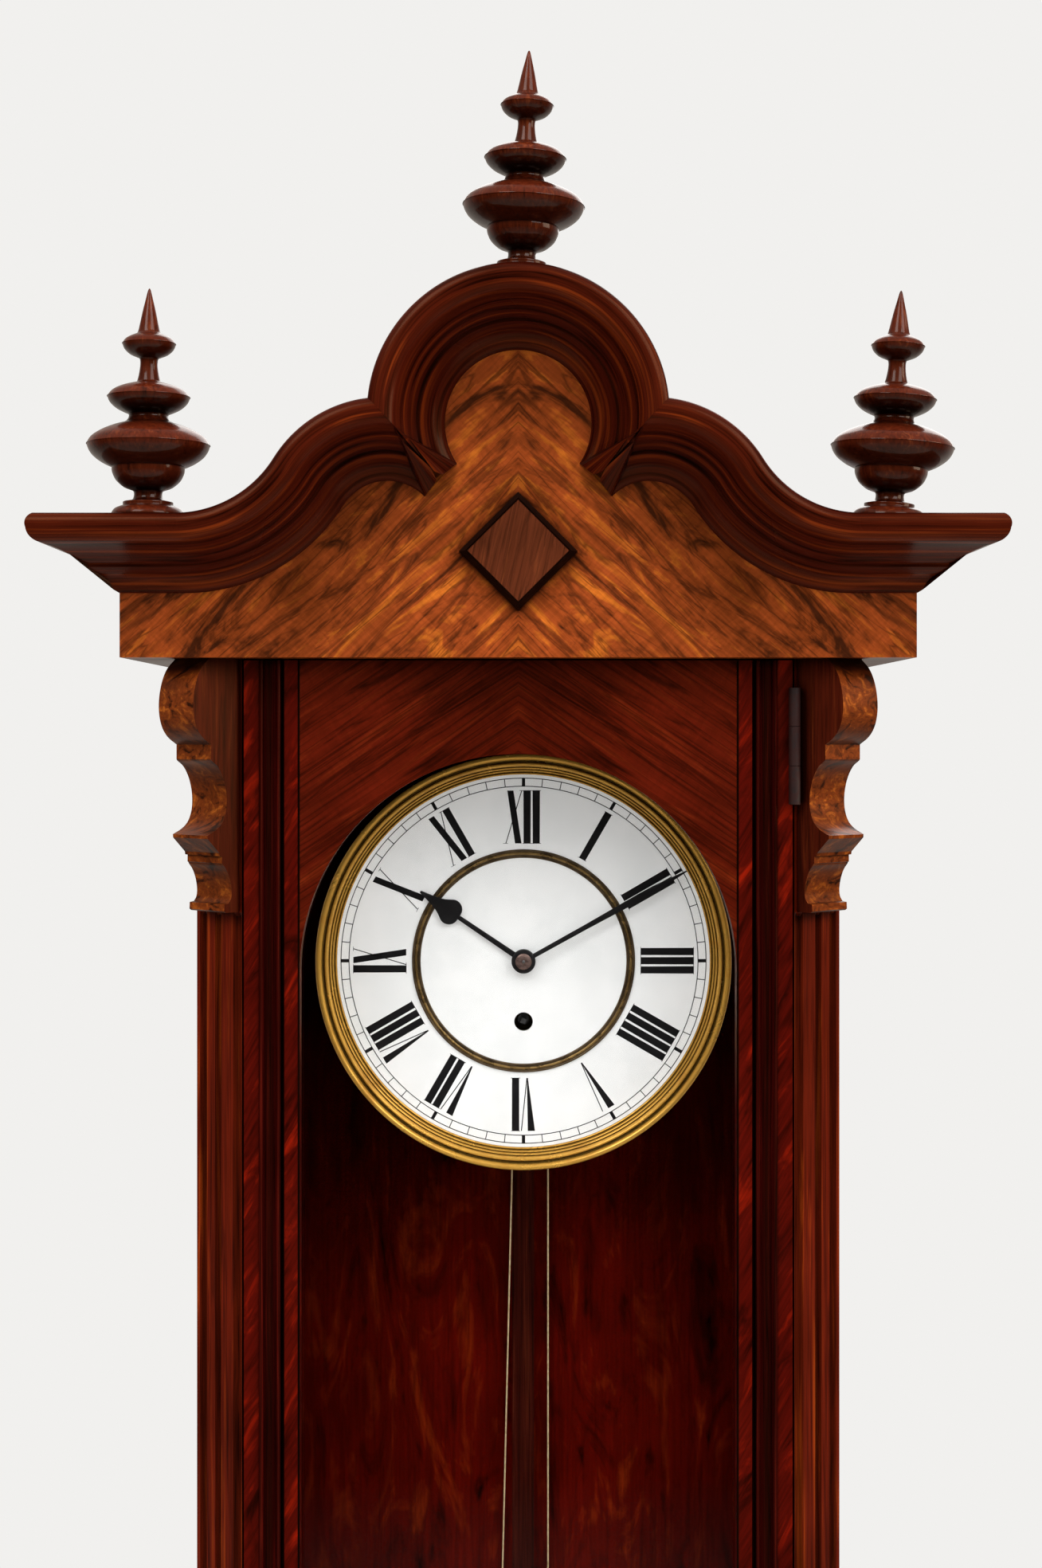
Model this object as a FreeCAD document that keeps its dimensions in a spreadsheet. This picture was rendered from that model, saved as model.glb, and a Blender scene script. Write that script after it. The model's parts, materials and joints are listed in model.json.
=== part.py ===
import FreeCAD
import Part
import math
import os

from FreeCAD import Vector

doc = FreeCAD.newDocument("wall_clock")
sheet = doc.addObject("Spreadsheet::Sheet", "Size")

# Driving dimensions in millimetres. The wall is the plane Y = 0, the front is -Y,
# and the origin is the middle of the hanger hole.
SIZES = {
    # Case
    "hanger_below_top": 20.0,
    "dial_below_top": 129.5,
    "bob_floor_room": 40.0,
    "case_half_width": 135.5,
    "case_depth": 150.0,
    "corner_cant": 21.5,
    "board_thickness": 14.0,
    "back_thickness": 15.0,
    "side_thickness": 14.0,
    "rear_stile_width": 30.0,
    "side_rail_height": 42.0,
    "side_glass_lap": 5.0,
    "pane_thickness": 2.5,
    "post_thickness": 38.0,
    "post_rebate": 10.0,
    "flute_radius": 3.2,
    "flute_pitch": 8.4,
    "flute_sink": 0.9,
    "flute_margin": 22.0,
    "flute_top_margin": 7.0,
    "seat_gap": 0.4,
    "overrun": 5.0,
    # Corbels
    "corbel_height": 104.6,
    "corbel_projection": 25.6,
    "corbel_thickness": 23.4,
    "corbel_shift": 1.13,
    # Crown
    "crown_overhang": 26.0,
    "crown_board_thickness": 16.0,
    "crown_door_gap": 1.2,
    "crown_side_thickness": 12.0,
    "frieze_height": 26.0,
    "cornice_height": 29.8,
    "cornice_projection": 31.6,
    "concave_start": 135.0,
    "shoulder_x": 53.0,
    "shoulder_z": 50.5,
    "shoulder_radius": 21.0,
    "arch_z": 94.8,
    "arch_radius": 29.7,
    "cusp_angle": 44.5,
    "arch_end_angle": 33.4,
    "arch_run_start_angle": -60.0,
    "arch_run_end_angle": 240.0,
    "saddle_offset": 9.3,
    "cap_thickness": 12.0,
    "boss_half_diagonal": 24.0,
    "boss_rim": 5.2,
    "boss_thickness": 7.0,
    "boss_bevel": 3.2,
    "boss_above_board": 42.7,
    "finial_height": 91.5,
    "finial_radius": 24.5,
    "finial_inset": 13.4,
    "side_finial_set_out": 12.0,
    "centre_finial_set_out": 7.0,
    "finial_seat_depth": 1.4,
    "finial_peg_radius": 4.0,
    "finial_peg_length": 9.0,
    "peg_clearance": 0.1,
    # Base
    "base_overhang": 26.0,
    "base_thickness": 26.0,
    "tail_width": 196.0,
    "tail_depth": 112.0,
    "tail_height": 78.0,
    "tail_drop_height": 52.0,
    "tail_drop_depth": 29.12,
    "tail_drop_radius": 21.0,
    # Hanger
    "hanger_width": 46.0,
    "hanger_height": 34.0,
    "hanger_thickness": 3.0,
    "hanger_hole_radius": 5.0,
    "hanger_pocket_radius": 11.0,
    "hanger_pocket_depth": 8.0,
    # Door
    "door_side_gap": 0.75,
    "door_thickness": 20.0,
    "door_gap": 0.6,
    "stile_width": 23.0,
    "crossband_width": 6.3,
    "door_moulding_width": 10.4,
    "door_moulding_rise": 1.6,
    "door_moulding_sink": 4.0,
    "door_lip": 7.0,
    "door_rebate_depth": 11.0,
    "bottom_rail_height": 30.0,
    "knuckle_radius": 2.4,
    "knuckle_out": 3.2,
    "knuckle_length": 16.0,
    "hinge_pin_radius": 1.2,
    "pivot_clearance": 0.05,
    "leaf_thickness": 1.2,
    "leaf_width": 15.0,
    "hinge_end_distance": 36.0,
    "lock_drop": 300.0,
    "lock_height": 34.0,
    "lock_width": 15.0,
    "lock_thickness": 9.0,
    "lock_plate_thickness": 1.5,
    "bolt_height": 8.0,
    "bolt_thickness": 3.0,
    "bolt_length": 12.0,
    "bolt_travel": 5.0,
    "keyhole_radius": 2.2,
    "escutcheon_radius": 4.2,
    # Dial
    "movement_offset": 2.3,
    "dial_depth": 97.0,
    "dial_radius": 84.0,
    "dial_plate_thickness": 1.2,
    "enamel_thickness": 1.4,
    "dial_foot_radius": 2.0,
    "dial_foot_spread": 34.0,
    "dial_foot_angle": 30.0,
    "centre_disc_radius": 45.6,
    "ring_inner_radius": 44.7,
    "ring_outer_radius": 48.5,
    "ring_thickness": 0.9,
    "ring_clearance": 0.15,
    "dial_hole_radius": 4.6,
    "winding_drop": 26.5,
    "winding_hole_radius": 4.05,
    "bezel_outer_radius": 90.0,
    "bezel_inner_radius": 81.0,
    "bezel_height": 10.5,
    "bezel_skirt": 1.6,
    # Movement frame
    "front_plate_depth": 84.0,
    "back_plate_depth": 50.0,
    "plate_thickness": 2.5,
    "plate_half_width": 41.0,
    "plate_top": 70.0,
    "plate_bottom": 57.0,
    "plate_corner_radius": 12.0,
    "pillar_radius": 3.0,
    "pillar_inset": 6.5,
    "pillar_waist": 2.2,
    "bracket_arm_thickness": 6.0,
    "bracket_arm_height": 12.0,
    "bracket_arm_spread": 31.0,
    "bracket_plate_thickness": 4.0,
    "chops_width": 12.0,
    "chops_height": 10.0,
    "chops_depth": 8.0,
    "bracket_rise": 22.0,
    "bracket_drop": 20.0,
    "bracket_window": 14.0,
    "spring_gap": 0.3,
    "stud_radius": 1.5,
    "stud_offset": 4.0,
    "stud_drop": 51.5,
    # Wheels
    "great_module": 0.9,
    "intermediate_module": 0.55,
    "train_module": 0.5,
    "shake": 0.2,
    "great_hub_radius": 5.0,
    "train_mesh_clearance": 0.12,
    "wheel_thickness": 1.4,
    "rim_width": 2.6,
    "spoke_width": 1.8,
    "hub_radius": 3.0,
    "arbor_radius": 1.2,
    "pivot_radius": 0.7,
    "centre_pivot_radius": 1.5,
    "great_wheel_depth": 80.0,
    "centre_wheel_depth": 55.0,
    "intermediate_wheel_depth": 59.2,
    "third_wheel_depth": 75.5,
    "escape_wheel_depth": 62.5,
    "pinion_face": 4.0,
    "escape_height": 37.0,
    "escape_radius": 15.0,
    "escape_tooth": 2.6,
    "pallet_angle": 45.0,
    "crutch_gap": 4.5,
    "anchor_thickness": 2.0,
    "pallet_width": 0.9,
    "pallet_clearance": 0.62,
    "pallet_length": 3.4,
    "anchor_arm_width": 3.0,
    "crutch_length": 62.0,
    "crutch_thickness": 1.6,
    "crutch_width": 3.4,
    "fork_gap": 0.35,
    "fork_prong": 1.6,
    # Motion work and hands
    "cannon_module": 0.45,
    "motion_module": 0.48,
    "cannon_depth": 88.4,
    "hour_wheel_depth": 91.0,
    "motion_thickness": 1.2,
    "minute_wheel_angle": 200.0,
    "stud_post_radius": 1.0,
    "hand_cap_thickness": 1.0,
    "cannon_pipe_radius": 2.1,
    "hour_pipe_radius": 3.2,
    "pipe_clearance": 0.08,
    "hour_hand_depth": 98.6,
    "minute_hand_depth": 100.6,
    "hand_thickness": 0.6,
    "hour_hand_length": 54.0,
    "hour_hand_half_width": 5.2,
    "minute_hand_length": 81.0,
    "minute_hand_half_width": 1.35,
    "hand_hub_radius": 5.2,
    "hour_hand_angle": 304.0,
    "minute_hand_angle": 61.0,
    # Winding
    "drum_line_radius": 11.0,
    "drum_front_depth": 78.6,
    "drum_back_depth": 62.6,
    "drum_flange_radius": 13.5,
    "drum_flange_thickness": 1.2,
    "winding_square": 3.4,
    "winding_arbor_radius": 2.6,
    "square_inset": 3.0,
    "square_turn": 20.0,
    "drum_wrap": 230.0,
    "line_radius": 0.35,
    "line_gap": 0.05,
    "line_depth": 70.0,
    # Weight
    "pulley_line_radius": 12.0,
    "pulley_rim_radius": 14.5,
    "pulley_thickness": 6.0,
    "pulley_groove": 1.6,
    "pulley_drop": 430.0,
    "pulley_pin_radius": 1.6,
    "stirrup_thickness": 1.4,
    "stirrup_gap": 0.5,
    "stirrup_width": 7.0,
    "stirrup_side_drop": 22.0,
    "weight_radius": 22.0,
    "weight_height": 112.0,
    "weight_loop_radius": 4.6,
    "weight_loop_wire": 1.2,
    "weight_neck": 2.6,
    "stirrup_bar_radius": 1.4,
    # Pendulum
    "pendulum_depth": 32.0,
    "bob_drop": 560.0,
    "bob_radius": 70.0,
    "bob_thickness": 25.0,
    "bob_rim": 2.4,
    "rod_width": 10.0,
    "rod_thickness": 6.0,
    "rod_below_bob": 12.0,
    "rod_slot_clearance": 0.3,
    "spring_length": 16.0,
    "spring_width": 6.0,
    "spring_thickness": 0.3,
    "spring_free": 9.0,
    "rod_short": 2.0,
    "nut_radius": 7.5,
    "nut_height": 6.0,
    "nut_screw_radius": 1.6,
}

TEETH = {
    "great_teeth": 40,
    "intermediate_teeth": 72,
    "intermediate_pinion_teeth": 10,
    "centre_teeth": 80,
    "centre_pinion_teeth": 12,
    "third_teeth": 64,
    "third_pinion_teeth": 8,
    "escape_teeth": 30,
    "escape_pinion_teeth": 8,
    "cannon_teeth": 16,
    "minute_teeth": 48,
    "minute_pinion_teeth": 12,
    "hour_teeth": 48,
}

# Sizes that follow the given ones
LINKED = {
    "door_half_width": SIZES["case_half_width"] - SIZES["corner_cant"] - SIZES["door_side_gap"],
    "crown_half_width": SIZES["case_half_width"] + SIZES["crown_overhang"],
    "post_back_depth": SIZES["case_depth"] - SIZES["post_thickness"],
    "floor_below_dial": SIZES["bob_drop"] + SIZES["bob_floor_room"],
    "crown_back_depth": SIZES["case_depth"] + SIZES["knuckle_out"] - SIZES["crown_door_gap"],
}
LINKED["crown_front_depth"] = LINKED["crown_back_depth"] + SIZES["crown_board_thickness"]
LINKED["finial_spread"] = LINKED["crown_half_width"] - SIZES["finial_inset"]
LINKED["side_finial_depth"] = LINKED["crown_front_depth"] + SIZES["side_finial_set_out"]
LINKED["centre_finial_depth"] = LINKED["crown_front_depth"] + SIZES["centre_finial_set_out"]

for row, (alias, value) in enumerate([*SIZES.items(), *LINKED.items()], start=1):
    sheet.set(f"A{row}", alias)
    sheet.set(f"B{row}", str(value))
    sheet.setAlias(f"B{row}", alias)
doc.recompute()

subparts = {}


def size(alias):
    """Returns one driving dimension from the sheet."""
    return float(sheet.get(alias))


def keep(obj, label):
    """Names an object as a finished sub-part."""
    obj.Label = label
    subparts[label] = obj
    return obj


def bind(obj, **expressions):
    """Binds properties to expressions over the sheet's cells."""
    for name, expression in expressions.items():
        obj.setExpression(name, expression)


def place(obj, across="0", depth="0", height="0"):
    """Binds an object's position to expressions over the sheet's cells."""
    obj.setExpression(".Placement.Base.x", across)
    obj.setExpression(".Placement.Base.y", depth)
    obj.setExpression(".Placement.Base.z", height)


def box(name, spans):
    """Makes a box bound to (low, high) expressions along X, Y and Z."""
    solid = doc.addObject("Part::Box", name)
    lengths = [f"({high}) - ({low})" for low, high in spans]
    bind(solid, Length=lengths[0], Width=lengths[1], Height=lengths[2])
    place(solid, *[low for low, high in spans])
    return solid


def cut(name, base, tool):
    """Cuts one object from another."""
    result = doc.addObject("Part::Cut", name)
    result.Base = base
    result.Tool = tool
    return result


def fuse(name, *pieces):
    """Joins objects into one."""
    result = doc.addObject("Part::MultiFuse", name)
    result.Shapes = list(pieces)
    result.Refine = True
    return result


def edges_of(outline):
    """Turns an outline into lines and arcs; a pair of points is an arc's middle and end."""
    edges = []
    first = outline[0]
    last = first
    for item in outline[1:] + [first]:
        if isinstance(item[0], tuple):
            middle, end = item
            edges.append(Part.Arc(Vector(*last, 0), Vector(*middle, 0), Vector(*end, 0)))
        else:
            end = item
            if math.dist(last, end) > 1e-7:
                edges.append(Part.LineSegment(Vector(*last, 0), Vector(*end, 0)))
        last = end
    return edges


def face_of(outline, holes=()):
    """Makes a flat face in the XY plane from an outline and its holes."""
    wires = [Part.Wire([edge.toShape() for edge in edges_of(item)]) for item in (outline, *holes)]
    return Part.Face(wires, "Part::FaceMakerBullseye") if holes else Part.Face(wires[0])


def circle_outline(across, up, radius):
    """Outline of a circle made of two half turns."""
    left = (across - radius, up)
    right = (across + radius, up)
    return [left, ((across, up + radius), right), ((across, up - radius), left)]


def shared(table, wide, high):
    """Scales a table of shares to real sizes; nested pairs are arcs."""
    outline = []
    for item in table:
        if isinstance(item[0], tuple):
            outline.append(tuple((first * wide, second * high) for first, second in item))
        else:
            outline.append((item[0] * wide, item[1] * high))
    return outline


def padded(label, outline, length, plane="XZ_Plane", holes=()):
    """A body padded from an outline; on XZ_Plane it grows towards the front."""
    body = doc.addObject("PartDesign::Body", label)
    support = [item for item in body.Origin.OriginFeatures if item.Role == plane][0]
    sketch = body.newObject("Sketcher::SketchObject", label + "_sketch")
    sketch.AttachmentSupport = (support, [""])
    sketch.MapMode = "FlatFace"
    for item in (outline, *holes):
        sketch.addGeometry(edges_of(item), False)
    pad = body.newObject("PartDesign::Pad", label + "_pad")
    pad.Profile = sketch
    bind(pad, Length=length)
    sketch.Visibility = False
    return body


def turned(label, outline, chords=2):
    """A body turned about its own Z axis from an outline of (radius, height), arcs as chords."""
    body = doc.addObject("PartDesign::Body", label)
    support = [item for item in body.Origin.OriginFeatures if item.Role == "XZ_Plane"][0]
    sketch = body.newObject("Sketcher::SketchObject", label + "_sketch")
    sketch.AttachmentSupport = (support, [""])
    sketch.MapMode = "FlatFace"
    sketch.addGeometry(edges_of(flat_points(outline, chords)), False)
    spin = body.newObject("PartDesign::Revolution", label + "_turning")
    spin.Profile = sketch
    spin.ReferenceAxis = (sketch, ["V_Axis"])
    spin.Angle = 360
    sketch.Visibility = False
    return body


def shape_part(label, shape, placement=FreeCAD.Placement()):
    """A sub-part whose shape is made directly, moved to its place."""
    obj = doc.addObject("Part::Feature", label)
    obj.Shape = shape
    obj.Placement = placement
    return keep(obj, label)


def rod(radius, front_depth, back_depth, across=0, up=0):
    """A round bar along Y between two depths behind the front."""
    return Part.makeCylinder(
        radius, front_depth - back_depth, Vector(across, -front_depth, up), Vector(0, 1, 0)
    )


def slab(face, front_depth, thickness):
    """Stands a flat XY face up in the XZ plane and thickens it towards the back."""
    face = face.copy()
    face.rotate(Vector(0, 0, 0), Vector(1, 0, 0), 90)
    face.translate(Vector(0, -front_depth, 0))
    return face.extrude(Vector(0, thickness, 0))


# Shared places
top = size("hanger_below_top")
dial_z = top - size("dial_below_top")
floor_z = dial_z - size("floor_below_dial")
centre_x = size("movement_offset")
overrun = size("overrun")
TOP = "Size.hanger_below_top"
FLOOR = "Size.hanger_below_top - Size.dial_below_top - Size.floor_below_dial"
DIAL = "Size.hanger_below_top - Size.dial_below_top"
CROWN_INNER = "Size.crown_half_width - Size.crown_side_thickness"
CAP_LOW = "Size.hanger_below_top + Size.frieze_height + Size.cornice_height - Size.cap_thickness"


# Carcase: back, sides with their panes, canted corner posts, top and base boards
def make_back():
    """Back panel, recessed at the rear for the hanger and its hook."""
    back = box("back_panel", [
        ("-(Size.case_half_width - Size.side_thickness)", "Size.case_half_width - Size.side_thickness"),
        ("-Size.back_thickness", "0"),
        (FLOOR, TOP),
    ])
    recess = box("hanger_recess", [
        ("-Size.hanger_width / 2", "Size.hanger_width / 2"),
        ("-Size.hanger_thickness", "Size.overrun"),
        ("-Size.hanger_height / 2", "Size.hanger_height / 2"),
    ])
    pocket = doc.addObject("Part::Cylinder", "hook_pocket")
    bind(pocket, Radius="Size.hanger_pocket_radius", Height="Size.hanger_pocket_depth + Size.overrun")
    pocket.Placement.Rotation = FreeCAD.Rotation(Vector(1, 0, 0), -90)
    pocket.setExpression(".Placement.Base.y", "-Size.hanger_thickness - Size.hanger_pocket_depth")
    tools = fuse("hanger_cuts", recess, pocket)
    keep(cut("backboard", back, tools), "backboard")


def make_hanger():
    """Steel hanger plate let in flush with the back."""
    half_width = size("hanger_width") / 2
    half_height = size("hanger_height") / 2
    outline = [
        (-half_width, -half_height),
        (half_width, -half_height),
        (half_width, half_height),
        (-half_width, half_height),
    ]
    hole = circle_outline(0, 0, size("hanger_hole_radius"))
    keep(padded("hanger_plate", outline, "Size.hanger_thickness", holes=[hole]), "hanger_plate")


def make_sides():
    """Framed sides with a glazed opening, and both panes as one group."""
    panes = []
    for name, sign in (("left", -1), ("right", 1)):
        inner = "Size.case_half_width - Size.side_thickness"
        across = [inner, "Size.case_half_width"]
        if sign < 0:
            across = [f"-({across[1]})", f"-({across[0]})"]
        board = box(f"side_board_{name}", [
            tuple(across),
            ("-Size.post_back_depth", "0"),
            (FLOOR, TOP),
        ])
        window = box(f"side_window_{name}", [
            (f"{across[0]} - Size.overrun", f"{across[1]} + Size.overrun"),
            ("-Size.post_back_depth + Size.side_glass_lap", "-Size.rear_stile_width"),
            (f"{FLOOR} + Size.side_rail_height", f"{TOP} - Size.side_rail_height"),
        ])
        middle = "(Size.case_half_width - Size.side_thickness / 2)"
        middle = middle if sign > 0 else f"-{middle}"
        groove = box(f"pane_groove_{name}", [
            (f"{middle} - Size.pane_thickness / 2", f"{middle} + Size.pane_thickness / 2"),
            ("-Size.post_back_depth - Size.overrun", "-Size.rear_stile_width + Size.side_glass_lap"),
            (f"{FLOOR} + Size.side_rail_height - Size.side_glass_lap",
             f"{TOP} - Size.side_rail_height + Size.side_glass_lap"),
        ])
        cuts = fuse(f"side_cuts_{name}", window, groove)
        keep(cut(f"case_side_{name}", board, cuts), f"case_side_{name}")
        panes.append(box(f"side_pane_{name}", [
            (f"{middle} - Size.pane_thickness / 2", f"{middle} + Size.pane_thickness / 2"),
            ("-Size.post_back_depth", "-Size.rear_stile_width + Size.side_glass_lap"),
            (f"{FLOOR} + Size.side_rail_height - Size.side_glass_lap",
             f"{TOP} - Size.side_rail_height + Size.side_glass_lap"),
        ]))
    group = doc.addObject("Part::Compound", "side_glass")
    group.Links = panes
    keep(group, "side_glass")


def make_posts():
    """Canted, fluted corner posts with a stop behind the door."""
    half = size("case_half_width")
    cant = size("corner_cant")
    depth = size("case_depth")
    rear = size("post_back_depth")
    inner = half - cant
    stop_x = inner - size("post_rebate")
    door_back = depth - size("door_thickness") - size("seat_gap")
    leaf = size("leaf_thickness")
    for name, sign in (("left", -1), ("right", 1)):
        outline = [
            (sign * inner, -depth),
            (sign * half, -(depth - cant)),
            (sign * half, -rear),
            (sign * stop_x, -rear),
            (sign * stop_x, -door_back),
            (sign * inner, -door_back),
        ]
        height = f"({TOP}) - ({FLOOR})"
        body = padded(f"post_blank_{name}", outline, height, "XY_Plane")
        place(body, height=FLOOR)
        doc.recompute()
        shape = body.Shape.copy()
        middle = Vector(sign * (half - cant / 2), -(depth - cant / 2), 0)
        along = Vector(1, sign, 0).normalize()
        outward = Vector(sign, -1, 0).normalize()
        low = floor_z + size("flute_margin")
        high = top - size("corbel_height") - size("flute_top_margin")
        for step in (-1, 0, 1):
            base = middle + along * (step * size("flute_pitch"))
            base += outward * (size("flute_radius") - size("flute_sink") - size("flute_radius") / 2)
            base.z = low
            flute = Part.makeCylinder(size("flute_radius"), high - low, base)
            ends = [Part.makeSphere(size("flute_radius"), Vector(base.x, base.y, z)) for z in (low, high)]
            shape = shape.cut(flute.fuse(ends))
        if sign > 0:
            for height_z in hinge_heights():
                shape = shape.cut(leaf_block(inner, inner + leaf, height_z))
        else:
            shape = shape.cut(bolt_bar(size("seat_gap"), size("bolt_travel") + size("seat_gap")))
        shape_part(f"corner_post_{name}", shape)


def hinge_heights():
    """Middle heights of the two door hinges."""
    return [top - size("hinge_end_distance"), floor_z + size("hinge_end_distance")]


def hinge_axis():
    """Place of the hinge pin in plan."""
    across = size("case_half_width") - size("corner_cant") - size("door_gap") / 2
    return across, -(size("case_depth") + size("knuckle_out"))


def leaf_block(low_x, high_x, middle_z, grow=0):
    """The space of one hinge leaf let into an upright edge."""
    length = 3 * size("knuckle_length")
    depth = size("case_depth")
    return Part.makeBox(
        high_x - low_x,
        size("leaf_width") + grow,
        length,
        Vector(low_x, -depth - grow, middle_z - length / 2),
    )


def make_boards():
    """Top board under the crown and the moulded base board."""
    board = box("top_board", [
        (f"-({CROWN_INNER})", CROWN_INNER),
        ("-Size.crown_back_depth", "0"),
        (TOP, f"{TOP} + Size.board_thickness"),
    ])
    keep(board, "top_board")
    # The base board's edge, as shares of its overhang and thickness
    edge_shares = [(0, 0), (0.45, 0), ((0.62, 0.16), (0.80, 0.26)), (1.0, 0.30), (1.0, 0.55),
                   ((0.93, 0.66), (0.80, 0.70)), ((0.55, 0.82), (0.42, 1.0)), (0, 1.0)]
    profile = shared(edge_shares, size("base_overhang"), size("base_thickness"))
    half = size("case_half_width")
    cant = size("corner_cant")
    depth = size("case_depth")
    low = floor_z - size("base_thickness")
    path = [
        (-half, 0),
        (-half, -(depth - cant)),
        (-(half - cant), -depth),
        (half - cant, -depth),
        (half, -(depth - cant)),
        (half, 0),
    ]
    core = Part.Face(Part.makePolygon([Vector(x, y, low) for x, y in path + path[:1]]))
    shape = core.extrude(Vector(0, 0, size("base_thickness")))
    section = Part.makePolygon([Vector(-half - out, 0, low + up) for out, up in flat_points(profile)])
    route = Part.makePolygon([Vector(x, y, low) for x, y in path])
    sweep = Part.BRepOffsetAPI.MakePipeShell(route)
    sweep.setTransitionMode(1)
    sweep.add(section)
    sweep.build()
    sweep.makeSolid()
    shape = shape.fuse(sweep.shape()).removeSplitter()
    slab_box = Part.makeBox(4 * half, 2 * depth, 4 * size("base_thickness"),
                            Vector(-2 * half, 0, low - size("base_thickness")))
    shape_part("base_board", shape.cut(slab_box))


def flat_points(outline, steps=3):
    """Points along an outline, with each arc cut into a few short chords, closed."""
    points = [outline[0]]
    for item in outline[1:]:
        if isinstance(item[0], tuple):
            start = points[-1]
            arc = Part.Arc(Vector(*start, 0), Vector(*item[0], 0), Vector(*item[1], 0)).toShape()
            spread = arc.discretize(steps + 1)[1:]
            points += [(point.x, point.y) for point in spread]
        else:
            points.append(item)
    return points + [outline[0]]


def make_tail():
    """Shaped block under the base with its turned drop."""
    # Half widths of the block down its height, as shares
    tail_shares = [(1.0, 1.0), (0.96, 0.90), ((0.70, 0.74), (0.62, 0.42)), ((0.55, 0.22), (0.34, 0.12)),
                   (0.34, 0)]
    half = size("tail_width") / 2
    height = size("tail_height")
    right = shared(tail_shares, half, height)
    outline = right + mirror_outline(right)
    low = floor_z - size("base_thickness") - height
    body = padded("tail_front", outline, "Size.tail_depth")
    place(body, height=f"{FLOOR} - Size.base_thickness - Size.tail_height")
    doc.recompute()
    depth_shares = [(0, 0), (0, 1.0), (1.0, 1.0), (0.97, 0.90), ((0.80, 0.72), (0.74, 0.42)),
                    ((0.68, 0.22), (0.52, 0.12)), (0.52, 0)]
    side = face_of(shared(depth_shares, size("tail_depth"), height))
    side.rotate(Vector(0, 0, 0), Vector(1, 0, 0), 90)
    side.rotate(Vector(0, 0, 0), Vector(0, 0, 1), -90)
    side.translate(Vector(-half, 0, low))
    block = body.Shape.common(side.extrude(Vector(2 * half, 0, 0)))
    shape_part("tail_block", block)
    drop_shares = [(0, 0), (0.16, 0), (0.38, 0.10), (0.22, 0.20), (0.22, 0.26), (0.85, 0.40), (1.0, 0.60),
                   (0.42, 0.78), (0.42, 0.86), (0.86, 0.90), (0.86, 1.0), (0, 1.0)]
    drop = turned("tail_drop", shared(drop_shares, size("tail_drop_radius"), size("tail_drop_height")))
    place(drop, depth="-Size.tail_drop_depth",
          height=f"{FLOOR} - Size.base_thickness - Size.tail_height - Size.tail_drop_height")
    keep(drop, "tail_drop")


def mirror_outline(right):
    """The left half of an outline that starts at the top right and ends at the bottom right."""
    left = []
    stops = [item[1] if isinstance(item[0], tuple) else item for item in right]
    left.append((-stops[-1][0], stops[-1][1]))
    for index in range(len(right) - 1, 0, -1):
        item = right[index]
        before = stops[index - 1]
        end = (-before[0], before[1])
        if isinstance(item[0], tuple):
            left.append(((-item[0][0], item[0][1]), end))
        else:
            left.append(end)
    return left


# Corbels
def make_corbels():
    """Scrolled brackets on the canted corners, under the crown."""
    # Projection and height shares, from the top down
    corbel_shares = [
        (0, 1.0), (0.74, 1.0), ((1.02, 0.915), (0.97, 0.79)), ((0.82, 0.735), (0.66, 0.665)),
        (0.65, 0.60), (0.52, 0.59), ((0.29, 0.50), (0.30, 0.405)), ((0.40, 0.358), (0.61, 0.335)),
        ((0.68, 0.305), (0.58, 0.272)), (0.43, 0.20), (0.42, 0.185), ((0.20, 0.12), (0.24, 0.047)),
        (0.31, 0.035), (0.31, 0), (0, 0),
    ]
    outline = shared(corbel_shares, size("corbel_projection"), size("corbel_height"))
    pair = []
    for name, sign, turn in (("left", -1, -135), ("right", 1, -45)):
        corbel = padded(f"corbel_{name}", outline, "Size.corbel_thickness")
        corbel.Placement.Rotation = FreeCAD.Rotation(Vector(0, 0, 1), turn)
        middle_x = f"{sign} * (Size.case_half_width - Size.corner_cant / 2 - Size.corbel_shift)"
        middle_y = "-(Size.case_depth - Size.corner_cant / 2 + Size.corbel_shift)"
        place(corbel,
              f"{middle_x} + Size.corbel_thickness / 2 * {math.sin(math.radians(-turn))}",
              f"{middle_y} + Size.corbel_thickness / 2 * {math.cos(math.radians(turn))}",
              f"{TOP} - Size.corbel_height")
        pair.append(corbel)
    group = doc.addObject("Part::Compound", "corbels")
    group.Links = pair
    keep(group, "corbels")


# Crown: pediment, cornice with its arch, returns, cap, boss and finials
def cornice_section():
    """Cornice section as a closed line of (projection, height), from shares, its curves cut into chords."""
    profile_shares = [
        (0, 0), (0.07, 0.047), ((0.135, 0.175), (0.25, 0.258)), (0.348, 0.329), (0.408, 0.40),
        ((0.62, 0.53), (0.867, 0.624)), ((0.965, 0.70), (1.0, 0.80)), (1.0, 0.905), (0.965, 1.0), (0, 1.0),
    ]
    return flat_points(shared(profile_shares, size("cornice_projection"), size("cornice_height")),
                       CORNICE_CHORDS)


CORNICE_CHORDS = 3


def crown_geometry():
    """Centres and radii of the cornice's lower edge on the right half."""
    start = size("concave_start")
    base = size("frieze_height")
    over = start - size("shoulder_x")
    rise = size("shoulder_z") - base
    small = size("shoulder_radius")
    concave = (over ** 2 + rise ** 2 - small ** 2) / (2 * (rise + small))
    return {
        "concave": ((start, base + concave), concave),
        "shoulder": ((size("shoulder_x"), size("shoulder_z")), small),
        "arch": ((0, size("arch_z")), size("arch_radius")),
    }


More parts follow.
